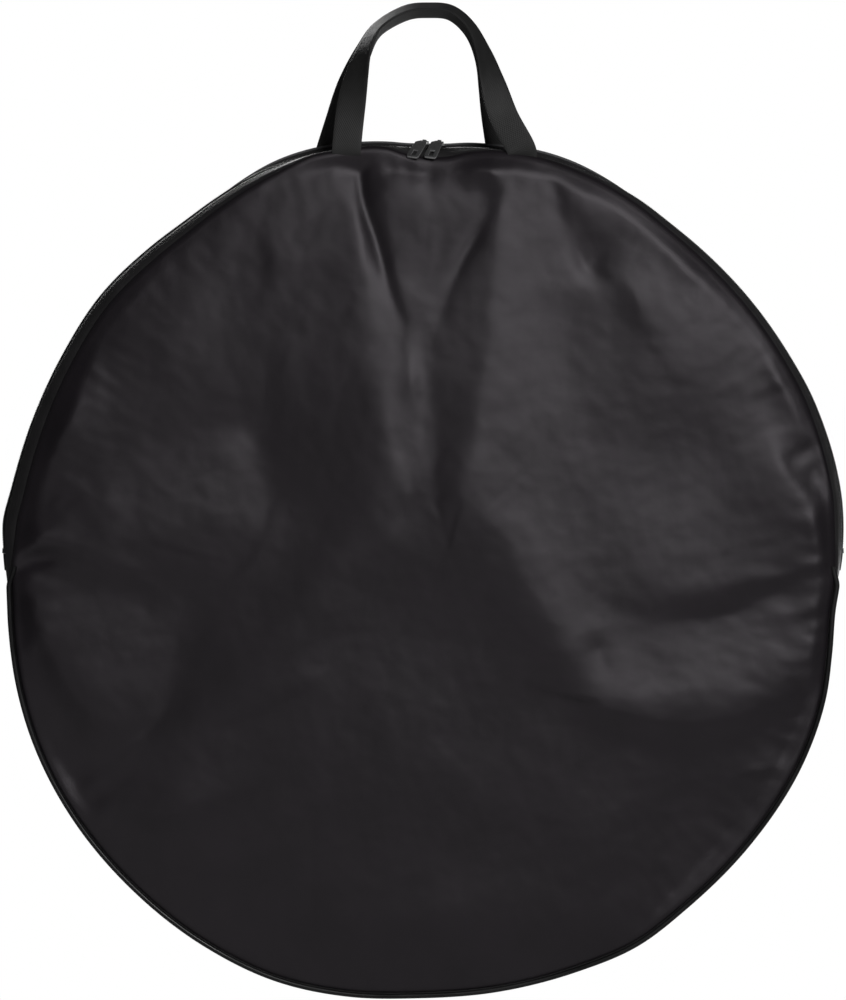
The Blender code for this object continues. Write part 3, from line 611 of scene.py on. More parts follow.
    )),
    (1.4, (  # fine creases of the right fan
        (355, 19, -0.8, 8, 6), (324, 17, 0.2, 8, 6), (290, 14, 0, 10, 6), (251, 7, 0.4, 10, 6),
    )),
    (1.4, ((357, 9, -0.8, 6, 8), (329, 4, 1.3, 6, 8), (298, -3, 0.3, 7, 9), (268, -14, -0.1, 7, 9))),
    (1.4, (  # fine slanting crease
        (96, 352, -2.2, 9, 21), (119, 325, -2.5, 9, 21), (143, 287, -0.6, 9, 21), (165, 251, 1, 9, 21),
        (191, 206, -1.2, 9, 21),
    )),
    (1.4, (  # fine streak left of the flank
        (-138, 236, 0.4, 12, 6), (-133, 193, -0.2, 12, 6), (-138, 141, -0.7, 12, 6),
        (-147, 98, -0.2, 12, 6),
    )),
)
# Dishes and swellings: (across, up, height, half length, half width, degrees its length is turned)
FRONT_SWELLINGS = (
    (15, 315, 0.4, 22, 34, 0),
    (126, 193, -4, 90, 50, -10),
    (238, 210, 3.6, 70, 50, 40),
    (230, 89, -5, 60, 60, 0),
    (-183, 270, -1.3, 80, 50, -40),
    (-200, 55, 1, 40, 60, 0),
    (6, -177, 1.7, 90, 120, 0),
    (-235, -237, -0.7, 60, 60, 0),
    (238, -212, -6, 90, 60, 0),
    (6, -306, 5.2, 40, 120, 0),
    (-286, -57, 0.8, 50, 30, 0),
)
BACK_FOLDS = (
    (1.8, ((60, 360, 0, 14, 14), (50, 290, 5, 26, 20), (30, 200, 6, 40, 30), (12, 110, 0, 40, 30))),
    (1.8, ((-72, 360, 0, 14, 14), (-62, 280, 5, 22, 26), (-40, 190, 6, 30, 40), (-20, 100, 0, 30, 40))),
    (1.8, ((350, -20, 0, 14, 14), (280, -10, 5, 20, 26), (190, 10, 3, 30, 30), (120, 20, 0, 30, 30))),
    (1.8, ((-350, 30, 0, 14, 14), (-270, 10, 5, 24, 22), (-180, -20, 3, 30, 30), (-110, -50, 0, 30, 30))),
)
BACK_SWELLINGS = (
    (-10, 280, -5, 60, 44, 0),
    (-200, -120, 3, 90, 60, 30),
    (190, -150, 3, 100, 60, -25),
)
FOLD_STEPS = 8  # pieces of curve between two rows of a fold
SOFTEN_PASSES = 2
# Small gathers along the seams: (degrees from the top, millimetres)
FRONT_GATHERS = (
    (0, 0.5), (30, 0.35), (60, 0.6), (75, 1.1), (90, 1.5), (105, 1.3), (120, 0.8), (150, 0.5),
    (180, 0.4), (210, 0.5), (240, 0.7), (258, 1.0), (270, 1.4), (285, 1.3), (300, 0.8), (330, 0.5),
)
GATHER_WAVE = 0.013
GATHER_DEPTH = 0.030
GATHER_LAYER = 9  # of the noise, apart from those of the crumples
GATHER_GAIN = 2  # the noise seldom passes a half
CRUMPLE_SIZES = ((0.060, 0.0006), (0.026, 0.00036), (0.012, 0.00022))  # (wave, height)


def disc_places(u, v):
    """A square's points carried to a disc: share of its radius, and degrees from the top."""
    across, up = 2 * u - 1, 2 * v - 1
    share = np.maximum(np.abs(across), np.abs(up))
    wide = np.abs(across) > np.abs(up)
    longer = np.where(wide, across, up)
    longer = np.where(longer == 0, 1, longer)
    slope = 45 * np.where(wide, up, across) / longer
    degrees = np.where(wide, 90 - slope, slope)
    return share, np.where(longer < 0, degrees + 180, degrees)


def curve_between(before, start, end, after, t):
    """A smooth curve from start to end, as t goes from 0 to 1, for a line that comes from before and
    goes on to after."""
    return 0.5 * (
        2 * start
        + (end - before) * t
        + (2 * before - 5 * start + 4 * end - after) * t * t
        + (3 * start - before - 3 * end + after) * t * t * t
    )


def with_ends(rows):
    """One more row before the first and after the last, straight on."""
    return np.vstack((2 * rows[0] - rows[1], rows, 2 * rows[-1] - rows[-2]))


def curve_rows(rows):
    """More rows along a smooth curve through the given ones, in metres."""
    rows = MILLIMETRE * np.array(rows, float)
    ends = with_ends(rows)
    t = np.arange(FOLD_STEPS)[:, None] / FOLD_STEPS
    parts = [curve_between(*four, t) for four in zip(ends, ends[1:], ends[2:], ends[3:])]
    return np.vstack(parts + [rows[-1:]])


def fold_height(x, z, roundness, rows):
    """How far one long fold stands out at each point."""
    line = curve_rows(rows)
    nearest = np.full(len(x), np.inf)
    height = np.zeros(len(x))
    for low, high in zip(line, line[1:]):
        step = high[:2] - low[:2]
        share = np.clip(((x - low[0]) * step[0] + (z - low[1]) * step[1]) / (step @ step), 0, 1)
        aside_x = x - low[0] - share * step[0]
        aside_z = z - low[1] - share * step[1]
        distance = np.hypot(aside_x, aside_z)
        on_left = step[0] * aside_z - step[1] * aside_x > 0
        here = low[2:] + share[:, None] * (high[2:] - low[2:])
        reach = np.maximum(np.where(on_left, here[:, 1], here[:, 2]), MILLIMETRE)
        rise = here[:, 0] * np.exp(-((distance / reach) ** roundness))
        closer = distance < nearest
        height = np.where(closer, rise, height)
        nearest = np.where(closer, distance, nearest)
    return height


def soften(height):
    """Takes the hard lines out of the folds, by a mean with each point's neighbours on its grid."""
    side = math.isqrt(len(height))
    grid = height.reshape(side, side)
    for _ in range(SOFTEN_PASSES):
        wide = np.pad(grid, 1, mode="edge")
        beside = wide[1:-1, :-2] + wide[1:-1, 2:] + wide[:-2, 1:-1] + wide[2:, 1:-1]
        grid = (4 * grid + beside) / 8
    return grid.ravel()


def swelling_height(x, z, row):
    across, up, height, half_length, half_width = MILLIMETRE * np.array(row[:5], float)
    turn = math.radians(row[5])
    along = (x - across) * math.sin(turn) + (z - up) * math.cos(turn)
    aside = (x - across) * math.cos(turn) - (z - up) * math.sin(turn)
    return height * np.exp(-((along / half_length) ** 2) - (aside / half_width) ** 2)


def crumple_height(x, z):
    """Fine unevenness all over the cloth."""
    total = np.zeros(len(x))
    for layer, (wave, height) in enumerate(CRUMPLE_SIZES):
        total += height * np.array(
            [noise.noise((a / wave, b / wave, layer)) for a, b in zip(x.tolist(), z.tolist())]
        )
    return total


def gather_height(degrees, gap, rim):
    """Small puckers that run in from the seam."""
    arc = np.radians(degrees) * rim
    waves = np.array([
        noise.noise((a / GATHER_WAVE, b / GATHER_DEPTH, GATHER_LAYER))
        for a, b in zip(arc.tolist(), gap.tolist())
    ])
    amount = MILLIMETRE * table_value(FRONT_GATHERS, degrees)
    return GATHER_GAIN * amount * waves * np.exp(-gap / GATHER_DEPTH)


def panel_points(side, folds, swellings, u, v):
    """Points of a panel's outer and inner faces, from the bag's centre."""
    share, degrees = disc_places(u, v)
    rim = seam_radius(degrees, side)
    radius = share * rim
    x = radius * np.sin(np.radians(degrees))
    z = radius * np.cos(np.radians(degrees))
    gap = rim - radius

    slope = np.maximum(0, radius - FLAT_RADIUS) / (rim - FLAT_RADIUS)
    crowned = CROWNS[side] * (1 - slope**CROWN_POWER)
    edge = np.clip(gap / RIM_ROLL, 0, 1)
    rolled = RIM_DEPTH * (np.sqrt(1 - (1 - edge) ** 2) - 1)

    fold = soften(sum(fold_height(x, z, roundness, rows) for roundness, rows in folds))
    fold += sum(swelling_height(x, z, row) for row in swellings)
    fold += crumple_height(x, z) + gather_height(degrees, gap, rim)
    fold *= smooth_share(gap, 0, FOLD_FADE + FADE_GROWTH * np.abs(fold))

    face = FACE_DEPTH + crowned + rolled
    outer = np.stack((x, side * (face + fold), z), axis=-1)
    follow = LINING_FOLLOW * fold - LINING_HOLD * np.sqrt(fold * fold + MILLIMETRE**2)
    follow *= smooth_share(radius, GUARD_RADIUS + FOLD_FADE, 2 * GUARD_RADIUS)
    thickening = (1 - RIM_THICKNESS_SHARE) * smooth_share(gap, 0, FOLD_FADE)
    wall = PANEL_THICKNESS * (RIM_THICKNESS_SHARE + thickening)
    inner = np.stack((x, side * (face - wall + follow), z), axis=-1)
    return outer, inner


def make_panel(name, side, cells, folds, swellings, cloth, lining):
    """A padded panel: its outer cloth with folds, and the lining of its inner face."""
    steps = np.linspace(0, 1, cells + 1)
    v, u = np.meshgrid(steps, steps, indexing="ij")
    outer, inner = panel_points(side, folds, swellings, u.ravel(), v.ravel())
    count = (cells + 1) ** 2
    corner = (np.arange(cells)[:, None] * (cells + 1) + np.arange(cells)).ravel()
    quads = np.stack((corner, corner + 1, corner + cells + 2, corner + cells + 1), axis=-1)
    bottom = np.arange(cells + 1)
    right = bottom * (cells + 1) + cells
    loop = np.concatenate((bottom[:-1], right[:-1], (count - 1 - bottom)[:-1], (right - cells)[::-1][:-1]))
    following = np.roll(loop, -1)
    wall = np.stack((loop, loop + count, following + count, following), axis=-1)
    faces = np.concatenate((quads, quads[:, ::-1] + count, wall))
    if side == BACK:
        faces = faces[:, ::-1]
    mesh = bpy.data.meshes.new(name)
    mesh.from_pydata(np.concatenate((outer, inner)).tolist(), [], faces.tolist())
    mesh.materials.append(cloth)
    mesh.materials.append(lining)
    inside = np.zeros(len(faces), np.int32)
    inside[len(quads) : 2 * len(quads)] = 1
    mesh.polygons.foreach_set("material_index", inside)
    flat = np.concatenate((outer, outer))[faces.ravel()][:, (0, 2)]
    mesh.uv_layers.new(name="UVMap").data.foreach_set("uv", flat.astype(np.float32).ravel())
    mesh.update()
    piece = new_object(name, mesh)
    carry_to_place(piece)
    smooth_faces(piece, PANEL_SMOOTH_ANGLE)
    return piece


# Band, zip and piping


def make_strip(name, start, end, low, high, depth, thickness, columns, material, slot_name):
    """A strip of the band from one angle to another, and from one distance across to another."""

    def place(u, v):
        return band_point(start + (end - start) * u, low + (high - low) * v, depth)

    arc = math.radians(end - start) * ZIP_CREST_RADIUS
    steps = max(LEAST_STEPS, round(ROUND_STEPS * (end - start) / 180))
    piece = bent_grid(name, steps, columns, place, (arc, high - low))
    share = np.linspace(0, 1, steps + 1)
    length = path_length(place(share, np.full(steps + 1, 0.5)))
    finish_with(piece, "SOLIDIFY", thickness=thickness, offset=-1)
    carry_to_place(piece)
    smooth_faces(piece)
    dress(piece, material)
    return piece


def rounded_bar(sides, sizes, turned):
    """A small bar with rounded ends, to be copied many times."""
    bpy.ops.object.select_all(action="DESELECT")
    bpy.ops.mesh.primitive_cylinder_add(vertices=sides, radius=0.5, depth=1, rotation=turned)
    bar = bpy.context.object
    bpy.ops.object.transform_apply(location=True, rotation=True, scale=True)
    round_edges(bar, BAR_ROUNDING, segments=1, angle_limit=math.radians(BAR_EDGE_ANGLE))
    set_points(bar.data, points_of(bar.data) * np.array(sizes))
    return bar


def directions_at(angle):
    """Along the bag's edge and outwards, at an angle from its top."""
    along = np.array((math.cos(angle), 0, -math.sin(angle)))
    out = np.array((math.sin(angle), 0, math.cos(angle)))
    return along, out


def places_round(degrees, across, depth):
    """Where small pieces sit on the band: the middle of each, and its directions."""
    origins = band_point(degrees, np.full(len(degrees), across), depth)
    places = []
    for angle, origin in zip(np.radians(degrees), origins):
        along, out = directions_at(angle)
        places.append((origin, along, np.array((0.0, 1.0, 0.0)), out))
    return places


def make_small_pieces(name, shape, places, material):
    piece = copies_of(name, shape, places)
    carry_to_place(piece)
    smooth_faces(piece, SMALL_PIECE_SMOOTH_ANGLE)
    dress(piece, material)
    return piece


def make_teeth(name, side, material):
    """The turns of half of the nylon coil, each a rounded bar that lies across the zip."""
    count = round(CHAIN_LENGTH / TOOTH_PITCH)
    step = 2 * ZIP_REACH / count
    degrees = -ZIP_REACH + step * (np.arange(count) + 0.5 + TOOTH_SHIFT * side)
    depth = TAPE_DEPTH + TOOTH_SINK - TOOTH_HEIGHT / 2
    places = places_round(degrees, side * (TOOTH_START + TOOTH_LENGTH / 2), depth)
    tooth = rounded_bar(TOOTH_SIDES, (TOOTH_WIDTH, TOOTH_LENGTH, TOOTH_HEIGHT), (math.pi / 2, 0, 0))
    return make_small_pieces(name, tooth, places, material)


def stitch_shape():
    sizes = (STITCH_LENGTH, STITCH_THICKNESS, STITCH_THICKNESS)
    return rounded_bar(STITCH_SIDES, sizes, (0, math.pi / 2, 0))


def make_strip_stitches(name, side, material):
    """The row of stitches that holds a zip tape under its cloth strip."""
    degrees = np.linspace(-ZIP_REACH, ZIP_REACH, round(CHAIN_LENGTH / STITCH_PITCH))
    places = places_round(degrees, side * (CLOTH_STRIP_EDGE + STRIP_STITCH_INSET), 0)
    return make_small_pieces(name, stitch_shape(), places, material)


def make_piping(name, side, material):
    degrees = np.linspace(PIPING_START, 360 - PIPING_START, 2 * ROUND_STEPS)
    from_end = np.minimum(degrees - PIPING_START, 360 - PIPING_START - degrees)
    tuck = 2 * PIPING_RADIUS * (1 - smooth_share(from_end, 0, PIPING_TUCK_REACH))
    radius = seam_radius(degrees, side) + PIPING_STANDOFF + PIPING_RADIUS - tuck
    line = around(degrees, radius, side * FACE_DEPTH)
    piece = tube_along(name, line, PIPING_RADIUS, PIPING_ROUNDNESS)
    carry_to_place(piece)
    smooth_faces(piece)
    dress(piece, material)
    return piece


def make_both(kind, shape_of, material):
    """One piece for the front half of the zip or seam, and one for the back half."""
    return [shape_of(f"{name}_{kind}", side, material) for name, side in (("front", FRONT), ("back", BACK))]


def make_band_and_zip(finishes):
    strip_span = (CLOTH_STRIP_EDGE, SEAM_HALF_WIDTH)
    tape_span = (TAPE_EDGE, TAPE_EDGE + TAPE_WIDTH)

    def make_zip_strip(name, side, low_high, depth, columns, slot_name):
        low, high = sorted(side * across for across in low_high)
        return make_strip(
            name, -STRIP_REACH, STRIP_REACH, low, high, depth, STRIP_THICKNESS, columns,
            finishes[slot_name], slot_name,
        )

    front_strip = make_zip_strip("front_zip_strip", FRONT, strip_span, 0, STRIP_COLUMNS, "band")
    back_strip = make_zip_strip("back_zip_strip", BACK, strip_span, 0, STRIP_COLUMNS, "band")
    front_tape = make_zip_strip("front_zip_tape", FRONT, tape_span, TAPE_DEPTH, TAPE_COLUMNS, "zip_tape")
    back_tape = make_zip_strip("back_zip_tape", BACK, tape_span, TAPE_DEPTH, TAPE_COLUMNS, "zip_tape")
    lower = make_strip(
        "lower_band_cloth", LOWER_BAND_START, 360 - LOWER_BAND_START, -SEAM_HALF_WIDTH,
        SEAM_HALF_WIDTH, LOWER_BAND_DEPTH, STRIP_THICKNESS, LOWER_BAND_COLUMNS, finishes["band"], "band",
    )
    front_teeth, back_teeth = make_both("zip_teeth", make_teeth, finishes["zip_chain"])
    front_piping, back_piping = make_both("piping_cord", make_piping, finishes["piping"])
    front_stitches, back_stitches = make_both("strip_stitches", make_strip_stitches, finishes["thread"])
    bend_with_flap(front_stitches)
    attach(back_stitches, "shell")
    for piece, node in (
        (front_strip, "zip_band_front"), (front_tape, "zip_tape_front"),
        (front_teeth, "zip_chain_front"), (lower, "lower_band"), (front_piping, "piping_front"),
    ):
        bend_with_flap(piece)
        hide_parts(node)
    for piece, node in (
        (back_strip, "zip_band_back"), (back_tape, "zip_tape_back"),
        (back_teeth, "zip_chain_back"), (back_piping, "piping_back"),
    ):
        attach(piece, "shell")
        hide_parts(node)
    for name, side in (("left", -1), ("right", 1)):
        tab = make_strip(
            f"zip_cover_tab_{name}", *sorted((side * TAB_START, side * TAB_END)), -TAB_HALF_WIDTH,
            TAB_HALF_WIDTH, -TAB_STAND, TAB_THICKNESS, STRIP_COLUMNS, finishes["webbing"], "webbing",
        )
        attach(tab, "shell")
        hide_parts(f"zip_end_tab_{name}")


# Handles


def smooth_path(points, count):
    """Points along a smooth curve through the given ones."""
    ends = with_ends(np.array(points))
    places = np.linspace(0, len(points) - 1, count)
    low = np.minimum(places.astype(int), len(points) - 2)
    return curve_between(*(ends[low + i] for i in range(4)), (places - low)[:, None])


def handle_path(side, middle_x, loop_shares):
    """The middle line of a handle, with its ends behind the seam, and the share of height of each
    point."""
    height = HANDLE_TOP_HEIGHT - HANDLE_SEW_HEIGHT
    low = SEAM_HALF_WIDTH + CLEARANCE + WEBBING_THICKNESS / 2
    lean = WEBBING_WIDTH / 2 * math.cos(HANDLE_TOP_TILT)
    high = HANDLE_RIDGE_GAP / 2 + lean + WEBBING_THICKNESS / 2 * math.sin(HANDLE_TOP_TILT)
    points = [
        (middle_x + a * HANDLE_HALF_SPACING, side * (low + (high - low) * b), HANDLE_SEW_HEIGHT + b * height)
        for a, b in loop_shares
    ]
    for end, at in ((points[0], 0), (points[-1], len(points) + 1)):
        points.insert(
            at, (end[0], side * (low - HANDLE_SEWN_DEPTH), HANDLE_SEW_HEIGHT - HANDLE_SEWN_LENGTH)
        )
    path = smooth_path(points, HANDLE_RINGS + 1)
    return path, np.clip((path[:, 2] - HANDLE_SEW_HEIGHT) / height, 0, 1)


def make_handle(name, side, middle_x, loop_shares, material):
    path, share = handle_path(side, middle_x, loop_shares)
    along = np.gradient(path, axis=0)
    along /= np.linalg.norm(along, axis=1)[:, None]
    turn = smooth_share(share, TWIST_START_SHARE, TWIST_END_SHARE) * side * (math.pi / 2 - HANDLE_TOP_TILT)
    flat = np.cross((0, 1, 0), along)
    flat /= np.linalg.norm(flat, axis=1)[:, None]
    deep = np.cross(along, flat)
    wide = np.cos(turn)[:, None] * flat + np.sin(turn)[:, None] * deep
    length = path_length(path)

    def place(u, v):
        ring = np.rint(u * HANDLE_RINGS).astype(int)
        return path[ring] + wide[ring] * (v[:, None] - 0.5) * WEBBING_WIDTH

    piece = bent_grid(name, HANDLE_RINGS, HANDLE_COLUMNS, place, (length, WEBBING_WIDTH))
    finish_with(piece, "SOLIDIFY", thickness=WEBBING_THICKNESS, offset=0)
    round_edges(piece, WEBBING_EDGE)
    carry_to_place(piece)
    smooth_faces(piece, SMALL_PIECE_SMOOTH_ANGLE)
    dress(piece, material)
    return piece


def make_handles(finishes):
    for name, side, middle_x, shares, body in (
        ("front", FRONT, FRONT_HANDLE_X, FRONT_LOOP_SHARES, "flap"),
        ("rear", BACK, REAR_HANDLE_X, REAR_LOOP_SHARES, "shell"),
    ):
        piece = make_handle(f"{name}_webbing_handle", side, middle_x, shares, finishes["webbing"])
        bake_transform(piece)
        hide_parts(f"handle_{name}", f"handle_{name}_end_left", f"handle_{name}_end_right")


# Metal


def follow_outline(piece):
    """Moves a small piece in or out to where the hanging bag's band is."""
    points = points_of(piece.data)
    middle = points.mean(axis=0) - np.array(centre)
    degrees = math.degrees(math.atan2(middle[0], middle[2]))
    step = MILLIMETRE * table_value(OUTLINE_BULGES, degrees) * around(degrees, 1, 0)
    set_points(piece.data, points + step)


def wear_and_highlight_sides(pull):
    """Puts the lighter finish on a pull's sides, its far end and the walls of its window: partly wear, and
    partly a painted highlight along its rims.
    """
    largest = max(pull.data.polygons, key=lambda face: face.area)
    flat = Vector(largest.normal)
    for face in pull.data.polygons:
        if abs(face.normal @ flat) < WORN_AND_HIGHLIT_SIDE:
            face.material_index = 1


def make_metal(finishes):
    """The CAD part's own sliders, pulls and stops, with rounded edges in a lighter finish that is partly wear
    and partly painted highlight.
    """
    for node in ("slider_left", "slider_right", "pull_left", "pull_right", "zip_stop_left", "zip_stop_right"):
        cad_piece = frame["nodes"][node]
        piece = cad_piece.copy()
        piece.data = cad_piece.data.copy()
        piece.name = piece.data.name = node + "_metal"
        bpy.context.scene.collection.objects.link(piece)
        piece.parent = None
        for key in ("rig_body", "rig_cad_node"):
            del piece[key]
        select_only(piece)
        bpy.ops.object.mode_set(mode="EDIT")
        bpy.ops.mesh.select_all(action="SELECT")
        bpy.ops.mesh.remove_doubles(threshold=MERGE_DISTANCE)
        bpy.ops.mesh.dissolve_limited(angle_limit=math.radians(MERGE_ANGLE))
        bpy.ops.object.mode_set(mode="OBJECT")
        dress(piece, finishes["zip_metal"])
        # The second finish is lighter: partly wear, partly a painted highlight on the rounded edges and the
        # pulls' sides.
        piece.data.materials.append(finishes["worn_and_highlit_zip_metal"])
        round_edges(piece, METAL_EDGE, material=1)
        smooth_faces(piece)
        body = node
        if "pull" in node:
            wear_and_highlight_sides(piece)
        if "stop" in node:
            follow_outline(piece)
            body = "shell"
        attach(piece, body)
        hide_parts(node)


def make_guard(name, side, finishes):
    """A thin plastic disc sewn on the lining where the wheel's hub comes, and its ring of stitches."""
    outer = FACE_DEPTH + CROWNS[side] - GUARD_DEPTH

    def place(u, v):
        share, degrees = disc_places(u, v)
        return around(-side * degrees, share * GUARD_RADIUS, side * outer)

    sizes = (2 * GUARD_RADIUS, 2 * GUARD_RADIUS)
    guard = bent_grid(f"{name}_guard_disc", GUARD_CELLS, GUARD_CELLS, place, sizes)
    finish_with(guard, "SOLIDIFY", thickness=GUARD_THICKNESS, offset=-1)
    round_edges(guard, GUARD_EDGE, angle_limit=math.radians(GUARD_EDGE_ANGLE))
    carry_to_place(guard)
    smooth_faces(guard)
    dress(guard, finishes["guard_sheet"])

    ring = GUARD_RADIUS - GUARD_STITCH_INSET
    count = round(2 * math.pi * ring / STITCH_PITCH)
    face = side * (outer - GUARD_THICKNESS)
    places = []
    for angle in np.arange(count) * 2 * math.pi / count:
        along, out = directions_at(angle)
        places.append((ring * out + np.array((0, face, 0)), along, out, np.array((0.0, -side, 0.0))))
    stitches = make_small_pieces(
        f"{name}_guard_stitches", stitch_shape(), places, finishes["thread"]
    )
    return guard, stitches


def make_guards(finishes):
    for piece in make_guard("front", FRONT, finishes):
        bend_with_flap(piece)
    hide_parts("flap_hub_guard", "lower_front_hub_guard")
    for piece in make_guard("back", BACK, finishes):
        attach(piece, "shell")
    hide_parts("back_hub_guard")


# Finishes

CREASE_SCALE = 110.0  # small creases of the cloth, per metre
CREASE_GRAIN = {"Scale": CREASE_SCALE, "Detail": 3.0, "Roughness": 0.55}
PATCH_GRAIN = {"Detail": 4.0, "Roughness": 0.6}
PATCH_SPREAD = {"From Min": 0.3, "From Max": 0.7}  # the noise's usual range
MOULDED_GRAIN = {"Detail": 2.0}
THREAD_TONE = 0.25  # how much a thread's rise and fall changes its tone
FULL_BUMP = {"Strength": 1.0, "Distance": 1.0}


def fill_sockets(tree, node, values):
    """Each value is a constant for its socket, or another node's output to link."""
    for socket, value in dict(values).items():
        if isinstance(value, bpy.types.NodeSocket):
            tree.links.new(value, node.inputs[socket])
        else:
            node.inputs[socket].default_value = value
    return node


def add_node(tree, kind, values=(), **settings):
    """A shader node, with its settings and what goes into its sockets."""
    node = tree.nodes.new("ShaderNode" + kind)
    for name, value in settings.items():
        setattr(node, name, value)
    return fill_sockets(tree, node, values)


def math_node(tree, operation, *values):
    return add_node(tree, "Math", dict(enumerate(values)), operation=operation).outputs[0]


def new_group(name, inputs, outputs):
    """An empty node group, with its input sockets and the sockets that its outputs are linked to."""
    group = bpy.data.node_groups.new(name, "ShaderNodeTree")
    for label, kind in inputs:
        group.interface.new_socket(label, in_out="INPUT", socket_type="NodeSocket" + kind)
    for label, kind in outputs:
        group.interface.new_socket(label, in_out="OUTPUT", socket_type="NodeSocket" + kind)
    start = group.nodes.new("NodeGroupInput")
    end = group.nodes.new("NodeGroupOutput")
    return group, start.outputs, end.inputs


def woven_threads_group():
    """Plain weave: threads that pass over and under each other, and small creases, as a normal."""
    inputs = (("Place", "Vector"), ("Threads", "Float"), ("Depth", "Float"), ("Crease", "Float"))
    group, given, result = new_group("woven threads", inputs, (("Normal", "Vector"), ("Thread", "Float")))
    parts = add_node(group, "SeparateXYZ", {0: given["Place"]})
    turns = math_node(group, "MULTIPLY", given["Threads"], math.pi)
    warp = math_node(group, "COSINE", math_node(group, "MULTIPLY", parts.outputs[0], turns))
    weft = math_node(group, "COSINE", math_node(group, "MULTIPLY", parts.outputs[1], turns))
    thread = math_node(group, "MULTIPLY", warp, weft)
    creases = add_node(group, "TexNoise", {"Vector": given["Place"], **CREASE_GRAIN})
    height = math_node(group, "MULTIPLY", thread, given["Depth"])
    crease = math_node(group, "MULTIPLY", creases.outputs[0], given["Crease"])
    total = math_node(group, "ADD", height, crease)
    bump = add_node(group, "Bump", {"Height": total, **FULL_BUMP})
    group.links.new(bump.outputs[0], result["Normal"])
    group.links.new(thread, result["Thread"])
    return group


def uneven_tone_group():
    """A colour that changes a little from place to place and from thread to thread."""
    inputs = (
        ("Place", "Vector"), ("Thread", "Float"), ("Scale", "Float"), ("Dark", "Color"), ("Light", "Color"),
    )
    group, given, result = new_group("uneven tone", inputs, (("Color", "Color"), ("Share", "Float")))
    patches = add_node(
        group, "TexNoise", {"Vector": given["Place"], "Scale": given["Scale"], **PATCH_GRAIN}
    )
    spread = add_node(group, "MapRange", {"Value": patches.outputs[0], **PATCH_SPREAD}).outputs[0]
    threads = math_node(group, "MULTIPLY", given["Thread"], THREAD_TONE)
    share = add_node(group, "Clamp", {"Value": math_node(group, "ADD", spread, threads)}).outputs[0]
    mix = add_node(
        group, "Mix", {"Factor": share, "A": given["Dark"], "B": given["Light"]}, data_type="RGBA"
    )
    group.links.new(mix.outputs["Result"], result["Color"])
    group.links.new(share, result["Share"])
    return group


def new_finish(name):
    material = bpy.data.materials.new(name)
    material.use_nodes = True
    return material, material.node_tree, material.node_tree.nodes["Principled BSDF"]


def use_group(tree, group, values):
    return add_node(tree, "Group", values, node_tree=group)


def cloth_finish(name, groups, threads, depth, crease, dark, light, patches, shine):
    """A woven finish on the piece's UV map, which is in metres: threads and patches of tone per
    metre, and the depth of the weave and of its small creases."""
    material, tree, shader = new_finish(name)
    place = add_node(tree, "TexCoord").outputs["UV"]
    weave = use_group(
        tree, groups["weave"], {"Place": place, "Threads": threads, "Depth": depth, "Crease": crease}
    )
    tone = use_group(
        tree, groups["tone"],
        {
            "Place": place, "Thread": weave.outputs["Thread"], "Scale": patches,
            "Dark": (*dark, 1), "Light": (*light, 1),
        },
    )
    links = {"Normal": weave.outputs["Normal"], "Base Color": tone.outputs["Color"]}
    fill_sockets(tree, shader, {**links, **shine})
    return material


def moulded_finish(name, groups, dark, light, patches, grain, grain_depth, shine, gloss=None):
    """Plastic, vinyl or coated metal, with a fine grain and uneven tone on Object coordinates. gloss
    is the roughness where the tone is darkest and lightest, if it changes."""
    material, tree, shader = new_finish(name)
    place = add_node(tree, "TexCoord").outputs["Object"]
    tone = use_group(
        tree, groups["tone"],
        {"Place": place, "Thread": 0.0, "Scale": patches, "Dark": (*dark, 1), "Light": (*light, 1)},
    )
    grains = add_node(tree, "TexNoise", {"Vector": place, "Scale": grain, **MOULDED_GRAIN})
    bump = add_node(tree, "Bump", {**FULL_BUMP, "Height": grains.outputs[0], "Distance": grain_depth})
    fill_sockets(tree, shader, {"Base Color": tone.outputs["Color"], "Normal": bump.outputs[0], **shine})
    if gloss:
        rough = add_node(
            tree, "MapRange", {"Value": tone.outputs["Share"], "To Min": gloss[0], "To Max": gloss[1]}
        )
        tree.links.new(rough.outputs[0], shader.inputs["Roughness"])
    return material


